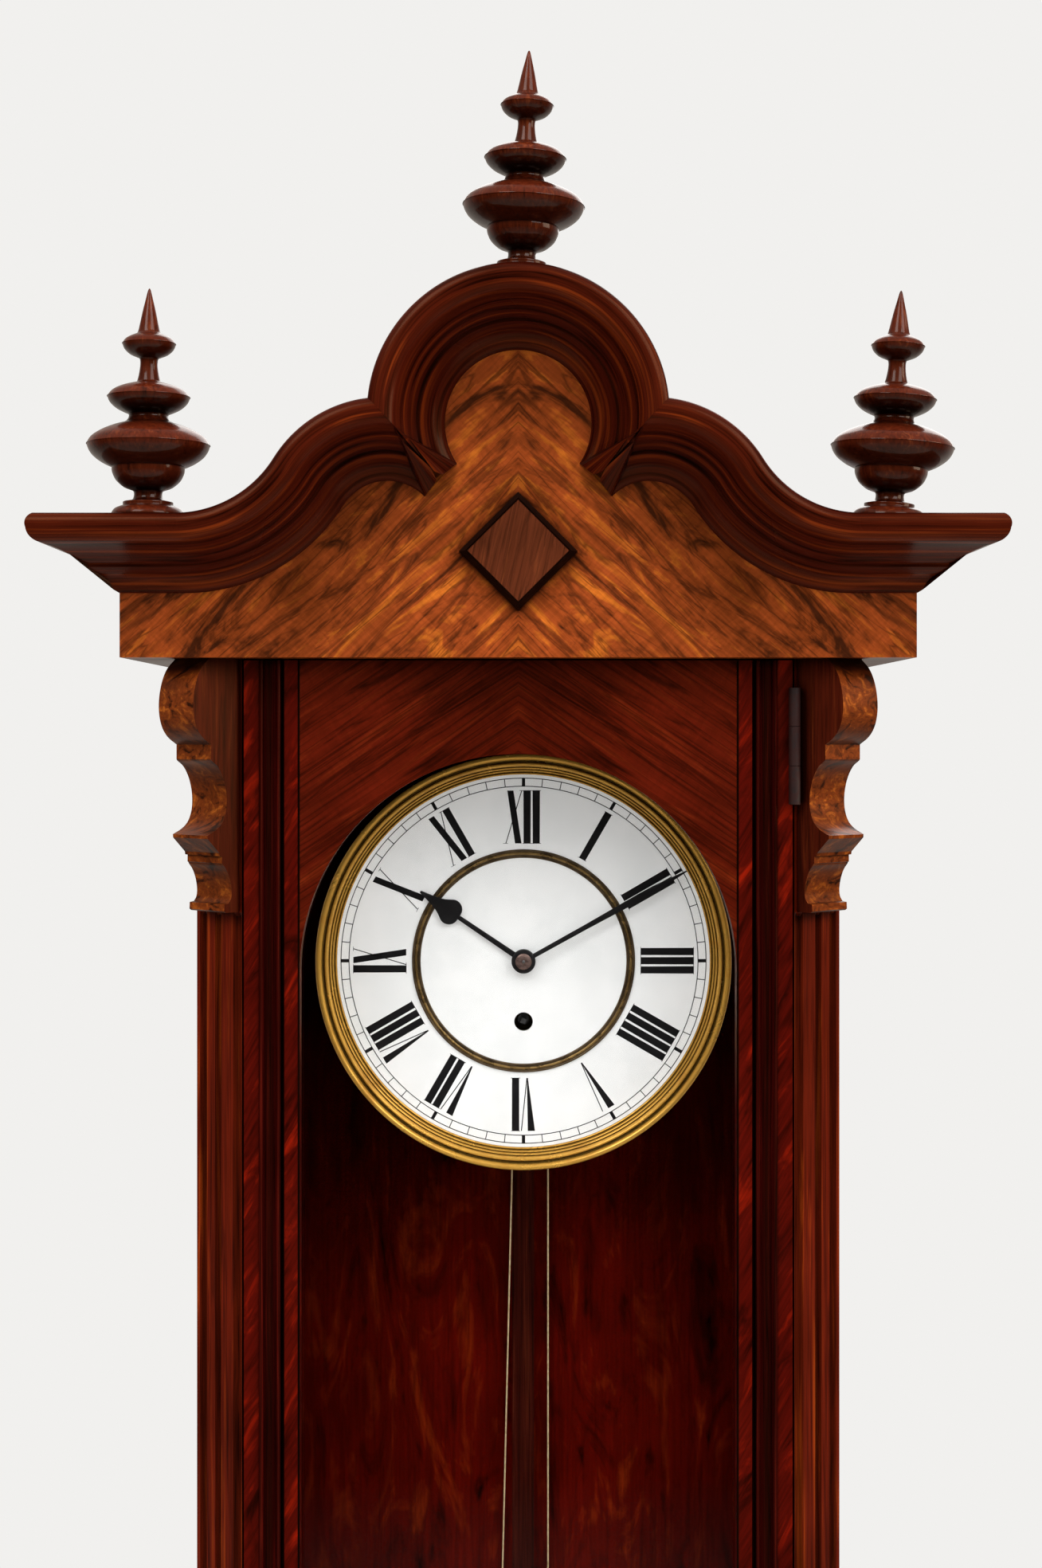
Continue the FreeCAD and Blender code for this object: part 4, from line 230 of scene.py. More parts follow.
@dataclass(frozen=True)
class Wood:
    """Walnut or a stained hardwood, sawn, veneered or turned, and French polished.

    The real surface is a thin amber gloss over brown fibres. To the eye it is broad streaks of growth figure,
    thin dark lines between them and fine fibres; creases and faces that look down get painted shade. Pores
    are a tenth of a millimetre wide, too fine for the picture, so they are drawn as dashes of about 1.3 mm.
    """

    name: str
    dark: str
    body: str
    bright: str
    lean: tuple[float, float, float] = (0.0, 0.0, 0.0)
    streak_mm: float = 7.0
    streak_length_mm: float = 90.0
    fibre_mm: float = 1.3
    figure: float = 1.2
    lines: float = 0.45
    roughness: float = 0.32
    coat: float = 0.04
    seam: Match = Match.NONE
    along: Grain = Grain.OBJECT
    contrast: float = 1.0
    # Painted shade in creases: its darkest value, and how far a wall still darkens
    crease_shade: float = 0.25
    crease_mm: float = 9.0
    curl: float = 0.0
    mottle: float = 0.24
    rear: str | None = None
    specular: float = 0.14
    # Painted shade on faces that look down: their darkest value
    under: float = 1.0

    def place(self, tree: Tree) -> Socket:
        """Where a point lies in the wood, in metres, with the grain along Z before it leans."""
        where = add_node(tree, "ShaderNodeTexCoord")
        if self.along is Grain.PATH:
            parts = add_node(tree, "ShaderNodeSeparateXYZ", links={0: where.outputs["UV"]})
            return add_node(tree, "ShaderNodeCombineXYZ", links={
                "X": parts.outputs["Y"], "Z": parts.outputs["X"]}).outputs[0]
        if self.seam is Match.NONE:
            return where.outputs["Object"]
        parts = add_node(tree, "ShaderNodeSeparateXYZ", links={0: where.outputs["Object"]})
        side = math_node(tree, "ABSOLUTE", parts.outputs["X"])
        return add_node(tree, "ShaderNodeCombineXYZ", links={
            "X": side, "Y": parts.outputs["Y"], "Z": parts.outputs["Z"]}).outputs[0]

    def pattern(self, tree: Tree, place: Socket, across_mm: float, along_mm: float,
                *clouds: float) -> Socket:
        """Noise that is narrow across the grain and long along it.

        Args:
            tree: The node tree.
            place: Where the point lies.
            across_mm: Width of one streak.
            along_mm: Length of one streak.
            clouds: The noise's detail, roughness and distortion.

        Returns:
            The noise's value.
        """
        turn = tuple(math.radians(a) for a in self.lean)
        spot = add_node(tree, "ShaderNodeMapping", {
            "vector_type": "TEXTURE", "Rotation": turn,
            "Scale": (across_mm * MM, across_mm * MM, along_mm * MM)}, {"Vector": place})
        return noise(tree, spot.outputs[0], 1.0, *clouds)

    def value(self, tree: Tree, place: Socket, fibre: Socket, cloud: Socket) -> Socket:
        """How light the wood is at a point: fibres, clouds and curl, with painted shade in creases and on
        faces that look down.

        Args:
            tree: The node tree.
            place: Where the point lies.
            fibre: Fine noise along the grain.
            cloud: Broad noise.

        Returns:
            The factor on the colour.
        """
        value = math_node(tree, "MULTIPLY", remap(tree, fibre, (0.3, 0.7), (1.20, 0.76)),
                          remap(tree, cloud, (0.3, 0.7), (1 - self.mottle, 1 + 0.8 * self.mottle)))
        if self.curl:
            # Wavy fibres catch the light in short bars across the grain
            wave = self.pattern(tree, place, 11.0, 3.2, 3.0, 0.6, 1.0)
            bars = remap(tree, wave, (0.32, 0.68), (1.0 - self.curl, 1.0 + self.curl))
            value = math_node(tree, "MULTIPLY", value, bars)
        # Painted shade darkens creases and recesses, with some old polish and dust
        value = math_node(tree, "MULTIPLY", value, crease_shade(tree, self.crease_mm, self.crease_shade))
        if self.under < 1:
            # Painted shade: faces that look down are darkened, as if shaded from a light above
            normal = add_node(tree, "ShaderNodeNewGeometry").outputs["Normal"]
            facing = add_node(tree, "ShaderNodeSeparateXYZ", links={0: normal}).outputs["Z"]
            value = math_node(tree, "MULTIPLY", value, remap(tree, facing, (-0.55, 0.0), (self.under, 1.0)))
        return value

    def make(self) -> bpy.types.Material:
        """Builds the wood's material."""
        material, tree = new_material(self.name)
        place = self.place(tree)
        figure = self.pattern(tree, place, self.streak_mm, self.streak_length_mm, 4.0, 0.6, self.figure)
        line = self.pattern(tree, place, 0.5 * self.streak_mm, 1.3 * self.streak_length_mm, 3.0, 0.5,
                            0.6 * self.figure)
        fibre = self.pattern(tree, place, self.fibre_mm, 30 * self.fibre_mm, 2.0, 0.6)
        cloud = noise(tree, place, 18.0, 2.0)
        half = 0.16 / self.contrast
        level = remap(tree, figure, (0.5 - half, 0.5 + half), (0.0, 1.0))
        tint = ramp(tree, level, [(0.0, self.dark), (0.40, self.body), (0.62, self.body), (1.0, self.bright)])
        # A growth line runs where the noise crosses its middle
        apart = math_node(tree, "ABSOLUTE", math_node(tree, "SUBTRACT", line, 0.5))
        shade = add_node(tree, "ShaderNodeMix",
                         {"data_type": "RGBA", "blend_type": "MIX", 7: linear(self.dark)},
                         {0: remap(tree, apart, (0.004, 0.045), (self.lines, 0.0)), 6: tint})
        if self.rear:
            # The side against the wall is the bare ground wood
            depth = add_node(tree, "ShaderNodeSeparateXYZ", links={0: place}).outputs["Y"]
            bare = math_node(tree, "GREATER_THAN", depth, -0.3 * MM)
            shade = add_node(tree, "ShaderNodeMix", {"data_type": "RGBA", 7: linear(self.rear)},
                             {0: bare, 6: shade.outputs[2]})
        colour = add_node(tree, "ShaderNodeHueSaturation", links={
            "Color": shade.outputs[2], "Value": self.value(tree, place, fibre, cloud)})
        surface(tree, {
            "Specular IOR Level": self.specular, "Specular Tint": linear("#F0A060"), "Coat Weight": self.coat,
            "Coat Roughness": 0.10, "Coat IOR": 1.45},
            {"Base Color": colour.outputs[0], "Normal": bump(tree, fibre, 0.10, 0.0002),
             "Roughness": remap(tree, cloud, (0.0, 1.0), (self.roughness - 0.08, self.roughness + 0.12))})
        return material


@dataclass(frozen=True)
class Brass:
    """Brass sheet or casting, lacquered long ago: warm yellow with brown bloom and dark specks."""

    name: str
    body: str = "#C9A23C"
    deep: str = "#7A4E14"
    specks: float = 0.5
    roughness: float = 0.30
    patch_mm: float = 9.0
    crease_shade: float = 0.25
    crease_mm: float = 3.0
    metal: float = 0.88

    def make(self) -> bpy.types.Material:
        """Builds the brass material."""
        material, tree = new_material(self.name)
        place = own_place(tree)
        bloom = noise(tree, place, 1 / (self.patch_mm * MM), 6.0, 0.62, 0.6)
        speck = noise(tree, place, 900.0, 2.0)
        tint = ramp(tree, bloom, [(0.36, self.deep), (0.52, self.body), (0.72, self.body)])
        shade = add_node(tree, "ShaderNodeMix",
                         {"data_type": "RGBA", "blend_type": "MIX", 7: linear("#2E1C08")},
                         {0: remap(tree, speck, (0.62, 0.70), (0.0, self.specks)), 6: tint})
        # Painted shade darkens the brass in its hollows
        colour = add_node(tree, "ShaderNodeHueSaturation", links={
            "Color": shade.outputs[2], "Value": crease_shade(tree, self.crease_mm, self.crease_shade)})
        # Tarnish takes away part of the metal's shine where the bloom is deep
        surface(tree, {}, {
            "Metallic": remap(tree, bloom, (0.36, 0.55), (self.metal - 0.28, self.metal)),
            "Base Color": colour.outputs[0], "Normal": bump(tree, speck, 0.10, 0.0002),
            "Roughness": remap(tree, bloom, (0.0, 1.0), (self.roughness - 0.06, self.roughness + 0.22))})
        return material


@dataclass(frozen=True)
class Steel:
    """Polished or blackened steel with fine wiping marks."""

    name: str
    body: str = "#9A9A9C"
    deep: str = "#6A6A6C"
    metallic: float = 1.0
    roughness: float = 0.30

    def make(self) -> bpy.types.Material:
        """Builds the steel material."""
        material, tree = new_material(self.name)
        place = own_place(tree)
        haze = noise(tree, place, 160.0, 5.0, 0.6)
        fine = noise(tree, place, 1800.0, 2.0)
        surface(tree, {"Metallic": self.metallic}, {
            "Base Color": ramp(tree, haze, [(0.35, self.deep), (0.65, self.body)]),
            "Roughness": remap(tree, haze, (0.0, 1.0), (self.roughness - 0.05, self.roughness + 0.12)),
            "Normal": bump(tree, fine, 0.08, 0.0001)})
        return material


@dataclass(frozen=True)
class Enamel:
    """Fired enamel: a glassy even skin with faint clouding.

    A faint glow is painted light: it keeps the enamel looking lit where the bezel and the door shade it.
    """

    name: str
    body: str = "#F6F7F7"
    deep: str = "#ECEEEE"
    roughness: float = 0.22

    def make(self) -> bpy.types.Material:
        """Builds the enamel material."""
        material, tree = new_material(self.name)
        place = own_place(tree)
        cloud = noise(tree, place, 45.0, 6.0, 0.6)
        ripple = noise(tree, place, 120.0, 1.0)
        # The emission is a painted glow that brightens the enamel where it is shaded
        surface(tree, {
            "Roughness": self.roughness, "Specular IOR Level": 0.5, "IOR": 1.5, "Coat Weight": 0.4,
            "Coat Roughness": 0.08, "Emission Color": linear("#FFFFFF"), "Emission Strength": 0.20},
            {"Base Color": ramp(tree, cloud, [(0.35, self.deep), (0.62, self.body)]),
             "Normal": bump(tree, ripple, 0.03, 0.0003)})
        return material


@dataclass(frozen=True)
class Glass:
    """Old drawn window glass, clear, with a faint waviness."""

    name: str

    def make(self) -> bpy.types.Material:
        """Builds the glass; shadow rays pass straight through, as through a thin pane."""
        material, tree = new_material(self.name)
        wave = noise(tree, own_place(tree), 14.0, 2.0)
        shader = add_node(tree, "ShaderNodeBsdfPrincipled", {
            "Base Color": (0.99, 0.99, 0.985, 1.0), "Roughness": 0.0, "IOR": 1.5, "Transmission Weight": 1.0},
            {"Normal": bump(tree, wave, 0.05, 0.0006)})
        clear = add_node(tree, "ShaderNodeBsdfTransparent", {"Color": (0.98, 0.98, 0.98, 1.0)})
        ray = add_node(tree, "ShaderNodeLightPath")
        mixed = add_node(tree, "ShaderNodeMixShader", links={
            0: ray.outputs["Is Shadow Ray"], 1: shader.outputs[0], 2: clear.outputs[0]})
        add_node(tree, "ShaderNodeOutputMaterial", links={"Surface": mixed.outputs[0]})
        return material


@dataclass(frozen=True)
class Paint:
    """A plain fired or dyed colour with a slight unevenness, such as enamel ink or gut."""

    name: str
    body: str
    deep: str
    roughness: float = 0.5
    patch_mm: float = 2.0

    def make(self) -> bpy.types.Material:
        """Builds the material."""
        material, tree = new_material(self.name)
        cloud = noise(tree, own_place(tree), 1 / (self.patch_mm * MM), 4.0)
        surface(tree, {"Roughness": self.roughness}, {
            "Base Color": ramp(tree, cloud, [(0.3, self.deep), (0.6, self.body)]),
            "Normal": bump(tree, cloud, 0.05, 0.0001)})
        return material


FINISHES = {
    "case_wood": Wood("walnut_carcase_polished", "#200602", "#481206", "#702C0C", streak_mm=5.0),
    # The crease darkening paints shade into the flutes
    "post_wood": Wood("walnut_posts_polished", "#2C0602", "#601706", "#983A0C", streak_mm=5.0,
                      streak_length_mm=160.0, crease_shade=0.10, crease_mm=6.0, contrast=0.8),
    "corbel_wood": Wood("walnut_corbels_polished", "#220703", "#471408", "#64270F", streak_mm=3.0,
                        contrast=0.7, streak_length_mm=60.0, crease_shade=0.15, roughness=0.30, specular=0.2,
                        coat=0.0),
    # Painted highlight: a paler copy of the corbel walnut for the scrolled fronts, with painted shade on
    # faces that look down
    "corbel_lit_front": Wood("walnut_corbels_front_painted_highlight", "#2E1004", "#76330F", "#A8561A", lean=(0.0, 90.0, 0.0),
                        streak_mm=6.0, streak_length_mm=60.0, lines=0.2, crease_shade=0.12, under=0.42,
                        specular=0.2),
    "crown_veneer": Wood("walnut_veneer_book_matched", "#3A180A", "#853A16", "#B05C1C",
                         lean=(0.0, -47.0, 0.0), streak_mm=15.0, streak_length_mm=60.0, figure=2.4,
                         lines=0.6, seam=Match.BOOK, contrast=0.9, curl=0.16, mottle=0.42),
    "spandrel_veneer": Wood("walnut_veneer_dark_matched", "#1E0301", "#501005", "#6C200A",
                            lean=(0.0, -56.0, 0.0), streak_mm=9.0, streak_length_mm=110.0, seam=Match.BOOK,
                            contrast=0.7, lines=0.6, figure=1.8, curl=0.1, mottle=0.36),
    "crossband": Wood("walnut_crossband_red", "#260201", "#4C0603", "#821304", lean=(0.0, 30.0, 0.0),
                      streak_mm=11.0, streak_length_mm=50.0, lines=0.35, fibre_mm=1.1, contrast=0.9,
                      crease_shade=0.5),
    "moulding_wood": Wood("pearwood_moulding_stained", "#140201", "#360504", "#520E08", streak_mm=1.6,
                          streak_length_mm=120.0, crease_shade=0.15, crease_mm=4.0, specular=0.2),
    # Faces that look down get painted shade, and creases painted shade too
    "turned_wood": Wood("walnut_turned_polished", "#2C0C05", "#561D0C", "#783518", streak_mm=2.2,
                        streak_length_mm=60.0, lines=0.12, contrast=0.7, mottle=0.12, coat=0.5,
                        roughness=0.30, crease_shade=0.10, crease_mm=12.0, under=0.28),
    # The far-reaching crease darkening is painted shade in the cove under the nose
    "cornice_wood": Wood("walnut_cornice_polished", "#1A0301", "#441106", "#682509", streak_mm=3.0,
                         figure=0.5, streak_length_mm=110.0, roughness=0.26, along=Grain.PATH, crease_shade=0.06,
                         crease_mm=28.0, specular=0.2),
    "ebonised": Wood("pearwood_ebonised", "#050202", "#0C0302", "#160604", streak_mm=2.0, specular=0.15,
                     coat=0.0),
    "boss_field": Wood("walnut_boss_field", "#2E140A", "#582816", "#70361C", lean=(0.0, 12.0, 0.0),
                       streak_mm=4.0, streak_length_mm=40.0, contrast=0.7),
    "rod_wood": Wood("beech_rod_stained", "#1A0604", "#340D08", "#4E1C10", streak_mm=2.4,
                     streak_length_mm=160.0, specular=0.05, coat=0.0),
    # Its far-reaching crease darkening is painted shadow cast by the dial and the door's arch onto the board
    "backboard_veneer": Wood("walnut_flame_veneer", "#240302", "#720F05", "#A8340E", streak_mm=26.0,
                             streak_length_mm=90.0, figure=2.2, lines=0.25, contrast=0.75, crease_shade=0.02,
                             crease_mm=130.0, specular=0.02, coat=0.0, rear="#6E4C30"),
    "dial_brass": Brass("brass_aged_spun", "#F8BE54", "#D0963A", specks=0.10, patch_mm=14.0, roughness=0.16,
                        crease_shade=0.14, crease_mm=2.0, metal=0.62),
    # The far-reaching crease darkening is painted shade round the winding hole
    "movement_brass": Brass("brass_lacquered_plate", "#C8A040", "#94702A", specks=0.2, crease_shade=0.05,
                            crease_mm=14.0),
    "hinge_bronze": Brass("brass_hinge_browned", "#32100A", "#200805", specks=0.2, patch_mm=4.0,
                          roughness=0.50, metal=0.28),
    "weight_brass": Brass("brass_polished_shell", "#EAAE48", "#CE9440", specks=0.06, roughness=0.20,
                          patch_mm=34.0, metal=0.62),
    "bob_brass": Brass("brass_bob_lacquered", "#E8AA44", "#C88E3C", specks=0.08, roughness=0.20,
                       patch_mm=34.0, metal=0.62),
    "hub_brass": Brass("brass_hub_browned", "#9A8078", "#5E4844", specks=0.3, patch_mm=3.0, crease_shade=0.6),
    "enamel": Enamel("enamel_white_fired"),
    "enamel_ink": Paint("enamel_black_fired", "#161517", "#0E0D0F", roughness=0.30),
    "ring_bronze": Steel("bronze_browned", "#6C583E", "#463624", metallic=0.5, roughness=0.36),
    # Painted highlight: a paler, shinier bronze for the ring's middle bead
    "ring_lit_bead": Steel("bronze_bead_painted_highlight", "#B0905A", "#7A6038", metallic=0.7, roughness=0.24),
    "steel": Steel("steel_polished"),
    "blackened_steel": Steel("steel_blackened", "#1C1A1C", "#121012", metallic=0.2, roughness=0.32),
    "pane": Glass("glass_window_clear"),
    "gut": Paint("gut_line_twisted", "#CDB48C", "#A88C62", roughness=0.55, patch_mm=1.2),
}
MADE: dict[str, bpy.types.Material] = {}


def finish(name: str) -> bpy.types.Material:
    """Returns the named finish, made once."""
    if name not in MADE:
        MADE[name] = FINISHES[name].make()
    return MADE[name]


def mesh_piece(name: str, points: np.ndarray, faces: np.ndarray, finish_name: str, body: str,
               smooth_angle: float = 35.0, uv: np.ndarray | None = None
               ) -> bpy.types.Object:
    """Makes one piece from arrays of points in millimetres and of faces, its doubles merged.

    Args:
        name: The piece's name.
        points: Points, one row each.
        faces: Corner numbers, one row each, all of one length.
        finish_name: Key of the finish.
        body: The frame's body that the piece rides on.
        smooth_angle: Edges that turn less than this, in degrees, are shaded smooth.
        uv: Place of each point along and across the grain, in millimetres.

    Returns:
        The object, at the origin.
    """
    mesh = bpy.data.meshes.new(name)
    sides = faces.shape[1]
    mesh.vertices.add(len(points))
    mesh.vertices.foreach_set("co", (points * MM).astype(np.float32).ravel())
    mesh.loops.add(faces.size)
    mesh.loops.foreach_set("vertex_index", faces.astype(np.int32).ravel())
    mesh.polygons.add(len(faces))
    mesh.polygons.foreach_set("loop_start", np.arange(0, faces.size, sides, dtype=np.int32))
    mesh.update(calc_edges=True)
    if uv is not None:
        layer = mesh.uv_layers.new(name="grain")
        layer.data.foreach_set("uv", (uv[faces.ravel()] * MM).astype(np.float32).ravel())
    form = bmesh.new()
    form.from_mesh(mesh)
    bmesh.ops.remove_doubles(form, verts=form.verts, dist=2e-6)
    bmesh.ops.recalc_face_normals(form, faces=form.faces)
    form.to_mesh(mesh)
    form.free()
    mesh.shade_smooth()
    mesh.set_sharp_from_angle(angle=math.radians(smooth_angle))
    piece = bpy.data.objects.new(name, mesh)
    bpy.context.scene.collection.objects.link(piece)
    mesh.materials.append(finish(finish_name))
    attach(piece, body)
    LOG.info("%s: %d faces", name, len(faces))
    return piece


def about_depth(degrees: float) -> np.ndarray:
    """Matrix that turns rows of points clockwise, seen from the front, by an angle."""
    turn = math.radians(degrees)
    return np.array([[math.cos(turn), 0, -math.sin(turn)], [0, 1, 0], [math.sin(turn), 0, math.cos(turn)]])


def capped(rings: np.ndarray) -> np.ndarray:
    """Rings of points with each end drawn together to the end ring's middle, which closes the shape."""
    middle = rings.mean(1, keepdims=True)
    around = rings.shape[1]
    return np.concatenate([np.repeat(middle[:1], around, 1), rings, np.repeat(middle[-1:], around, 1)])


def grid_faces(rows: int, columns: int, wrap: bool = False) -> np.ndarray:
    """Quads over a grid of points, row by row; wrap joins the last column to the first.

    Args:
        rows: Rows of points.
        columns: Points in a row.
        wrap: Whether each row closes.

    Returns:
        Four corner numbers for each face.
    """
    across = columns if wrap else columns - 1
    row, column = np.meshgrid(np.arange(rows - 1), np.arange(across), indexing="ij")
    right = (column + 1) % columns
    return np.stack([row * columns + column, row * columns + right,
                     (row + 1) * columns + right, (row + 1) * columns + column], -1).reshape(-1, 4)


def rounded(outline: np.ndarray, steps: int = 6) -> np.ndarray:
    """A smooth line through points: a Catmull-Rom curve, sampled.

    Between points b and c of a, b, c, d the curve is
    (2b + (c - a)t + (2a - 5b + 4c - d)t^2 + (3b - a - 3c + d)t^3) / 2.

    Args:
        outline: The points.
        steps: Samples for each stretch.

    Returns:
        The sampled points.
    """
    ends = np.vstack([2 * outline[0] - outline[1], outline, 2 * outline[-1] - outline[-2]])
    a, b, c, d = (ends[i:len(ends) - 3 + i][:, None, :] for i in range(4))
    t = np.linspace(0, 1, steps, endpoint=False)[None, :, None]
    bend, twist = 2 * a - 5 * b + 4 * c - d, 3 * b - a - 3 * c + d
    curve = (2 * b + (c - a) * t + bend * t ** 2 + twist * t ** 3) / 2
    return np.vstack([curve.reshape(-1, 2), outline[-1:]])


def lathe(outline: np.ndarray, centre: tuple[float, float, float], axis: str = "Z", segments: int = 96
          ) -> tuple[np.ndarray, np.ndarray]:
    """Turns an outline of (radius, height) about an axis through a centre.

    A point is centre + radius * (cos a, sin a) across the axis + height along it. For axis "Z" the height
    is up; for "Y" it is towards the viewer. An outline that starts and ends on the axis, or that closes on
    itself, gives a closed piece once its doubles are merged.

    Args:
        outline: Radius and height of each point.
        centre: The axis' foot, in millimetres.
        axis: "Z" or "Y".
        segments: Steps round.

    Returns:
        Points and faces.
    """
    angle = np.linspace(0, 2 * np.pi, segments, endpoint=False)
    radius = outline[:, :1]
    height = np.repeat(outline[:, 1:], segments, 1)
    first = radius * np.cos(angle)
    second = radius * np.sin(angle)
    if axis == "Z":
        points = np.stack([first, second, height], -1)
    else:
        points = np.stack([first, -height, second], -1)
    points = points.reshape(-1, 3) + np.array(centre)
    return points, grid_faces(len(outline), segments, True)


def through(first: tuple, middle: tuple, last: tuple, steps: int) -> np.ndarray:
    """Points on the arc through three points, the first left out.

    The centre c solves 2(b - a).c = |b|^2 - |a|^2 and 2(d - a).c = |d|^2 - |a|^2.

    Args:
        first: Start, a.
        middle: A point on the way, b.
        last: End, d.
        steps: Points made.

    Returns:
        The points, the last one the arc's end.
    """
    a, b, d = (np.array(v, float) for v in (first, middle, last))
    centre = np.linalg.solve(2 * np.array([b - a, d - a]), np.array([b @ b - a @ a, d @ d - a @ a]))
    spokes = [v - centre for v in (a, b, d)]
    start, via, end = (math.atan2(v[1], v[0]) for v in spokes)
    via = (via - start) % (2 * math.pi)
    sweep = (end - start) % (2 * math.pi)
    if via > sweep:
        sweep -= 2 * math.pi
    turn = start + sweep * np.linspace(0, 1, steps + 1)[1:]
    return centre + np.linalg.norm(spokes[0]) * np.stack([np.cos(turn), np.sin(turn)], -1)


def traced(outline: list, wide: float, high: float, steps: int = 8) -> np.ndarray:
    """A closed or open line from stops and arcs in shares of a width and a height.

    Args:
        outline: Stops (x, y), or pairs ((x, y), (x, y)) of an arc's middle and end.
        wide: What a share of 1 is in x, in millimetres.
        high: What a share of 1 is in y, in millimetres.
        steps: Points on each arc.

    Returns:
        The line's points.
    """
    scale = np.array([wide, high])
    points = [np.array(outline[0]) * scale]
    for stop in outline[1:]:
        if isinstance(stop[0], tuple):
            points.extend(through(points[-1], np.array(stop[0]) * scale, np.array(stop[1]) * scale, steps))
        else:
            points.append(np.array(stop) * scale)
    return np.array(points)


@dataclass
class Stage:
    """Camera, floor, lamps and the pale surroundings."""

    camera_distance: float = 1.120
    camera_height: float = -0.0129
    focal_px: float = 2950.0
    horizon_px: float = 927.0
    centre_px: float = 650.5
    floor_height: float = -0.905
    floor_half: float = 1.2

    def build(self) -> None:
        """Makes the camera, floor, lamps and world."""
        self.camera()
        self.floor()
        self.lamps()
        self.world()

    def camera(self) -> None:
        """Places the level camera with the photograph's focal length and shift."""
        data = bpy.data.cameras.new("camera")
        data.sensor_width = 36.0
        data.lens = self.focal_px / PHOTO_SIZE[1] * data.sensor_width
        data.shift_x = (PHOTO_SIZE[0] / 2 - self.centre_px) / PHOTO_SIZE[1]
        data.shift_y = -(PHOTO_SIZE[1] / 2 - self.horizon_px) / PHOTO_SIZE[1]
        camera = bpy.data.objects.new("camera", data)
        bpy.context.scene.collection.objects.link(camera)
        camera.location = (0.0, -self.camera_distance, self.camera_height)
        camera.rotation_euler = (math.radians(90), 0, 0)
        bpy.context.scene.camera = camera

    def floor(self) -> None:
        """Lays a pale floor under the hanging clock."""
        size = self.floor_half
        corners = np.array([[-size, -size, 0], [size, -size, 0], [size, size, 0], [-size, size, 0]])
        mesh = bpy.data.meshes.new("floor")
        mesh.from_pydata((corners + [0, 0, self.floor_height]).tolist(), [], [(0, 1, 2, 3)])
        floor = bpy.data.objects.new("floor", mesh)
        bpy.context.scene.collection.objects.link(floor)
        material, tree = new_material("floor_pale")
        surface(tree, {"Base Color": linear("#CFCDCA"), "Roughness": 0.8}, {})
        mesh.materials.append(material)

    def lamps(self) -> None:
        """Hangs four soft lamps: above left, above right, behind, and a warmer one at the right side."""
        for name, place, power, size in (
            ("lamp_left", (-1.1, -1.8, 1.8), 22.0, 1.2),
            ("lamp_right", (1.5, -1.7, 1.4), 25.0, 1.4),
            ("lamp_back", (0.4, 1.8, 1.2), 14.0, 1.6),
            ("lamp_side", (2.1, -0.55, 0.5), 13.0, 1.0),
        ):
            data = bpy.data.lights.new(name, "AREA")
            data.energy = power
            data.size = size
            data.color = (1.0, 0.86, 0.66) if name == "lamp_side" else (1.0, 1.0, 1.0)
            lamp = bpy.data.objects.new(name, data)
            bpy.context.scene.collection.objects.link(lamp)
            lamp.location = place
            aim = np.array([0.0, -0.1, -0.1]) - np.array(place)
            tilt = math.acos(-aim[2] / np.linalg.norm(aim))
            lamp.rotation_euler = (tilt, 0, math.atan2(aim[0], -aim[1]) + math.pi)

    def world(self) -> None:
        """Surrounds the scene with a pale room: white to the eye, a soft even light on things."""
        world = bpy.data.worlds.new("room")
        bpy.context.scene.world = world
        world.use_nodes = True
        tree = world.node_tree
        tree.nodes.clear()
        ray = add_node(tree, "ShaderNodeLightPath")
        # Through the glass the room is white too, but not where a polished surface behind it mirrors the room
        straight = math_node(tree, "LESS_THAN", ray.outputs["Glossy Depth"], 0.5)
        through_glass = math_node(tree, "MULTIPLY", ray.outputs["Is Transmission Ray"], straight)
        seen = math_node(tree, "MAXIMUM", ray.outputs["Is Camera Ray"], through_glass)
        mirrored = math_node(tree, "GREATER_THAN", ray.outputs["Glossy Depth"], 0.5)
        pale = add_node(tree, "ShaderNodeBackground", {"Color": linear("#F1F0EE"), "Strength": 1.0})
        # The room is lighter above; shiny things see it dim in front, with light above, below and behind
        way = add_node(tree, "ShaderNodeSeparateXYZ", links={0: own_place(tree)})
        above = remap(tree, way.outputs["Z"], (-0.7, 0.7), (0.16, 0.80))
        front = remap(tree, way.outputs["Y"], (0.2, -1.0), (0.0, 0.5))
        # The clock hangs near a wall, so little comes from behind
        wall = remap(tree, way.outputs["Y"], (-0.2, 0.5), (1.0, 0.35))
        even = math_node(tree, "MULTIPLY", above, wall)
        soft = add_node(tree, "ShaderNodeBackground", {"Color": (1.0, 0.99, 0.97, 1.0)},
                        {"Strength": math_node(tree, "ADD", even, front)})
        slope = remap(tree, math_node(tree, "ABSOLUTE", way.outputs["Z"]), (0.30, 0.70), (0.0, 0.45))
        behind = remap(tree, way.outputs["Y"], (0.15, 0.7), (0.0, 0.5))
        glow = add_node(tree, "ShaderNodeBackground", {"Color": (1.0, 0.90, 0.80, 1.0)},
                        {"Strength": math_node(tree, "MAXIMUM", slope, behind)})
        shine = add_node(tree, "ShaderNodeMixShader", links={
            0: mirrored, 1: soft.outputs[0], 2: glow.outputs[0]})
        both = add_node(tree, "ShaderNodeMixShader", links={0: seen, 1: shine.outputs[0], 2: pale.outputs[0]})
        add_node(tree, "ShaderNodeOutputWorld", links={"Surface": both.outputs[0]})
        bpy.context.scene.view_settings.view_transform = "Standard"


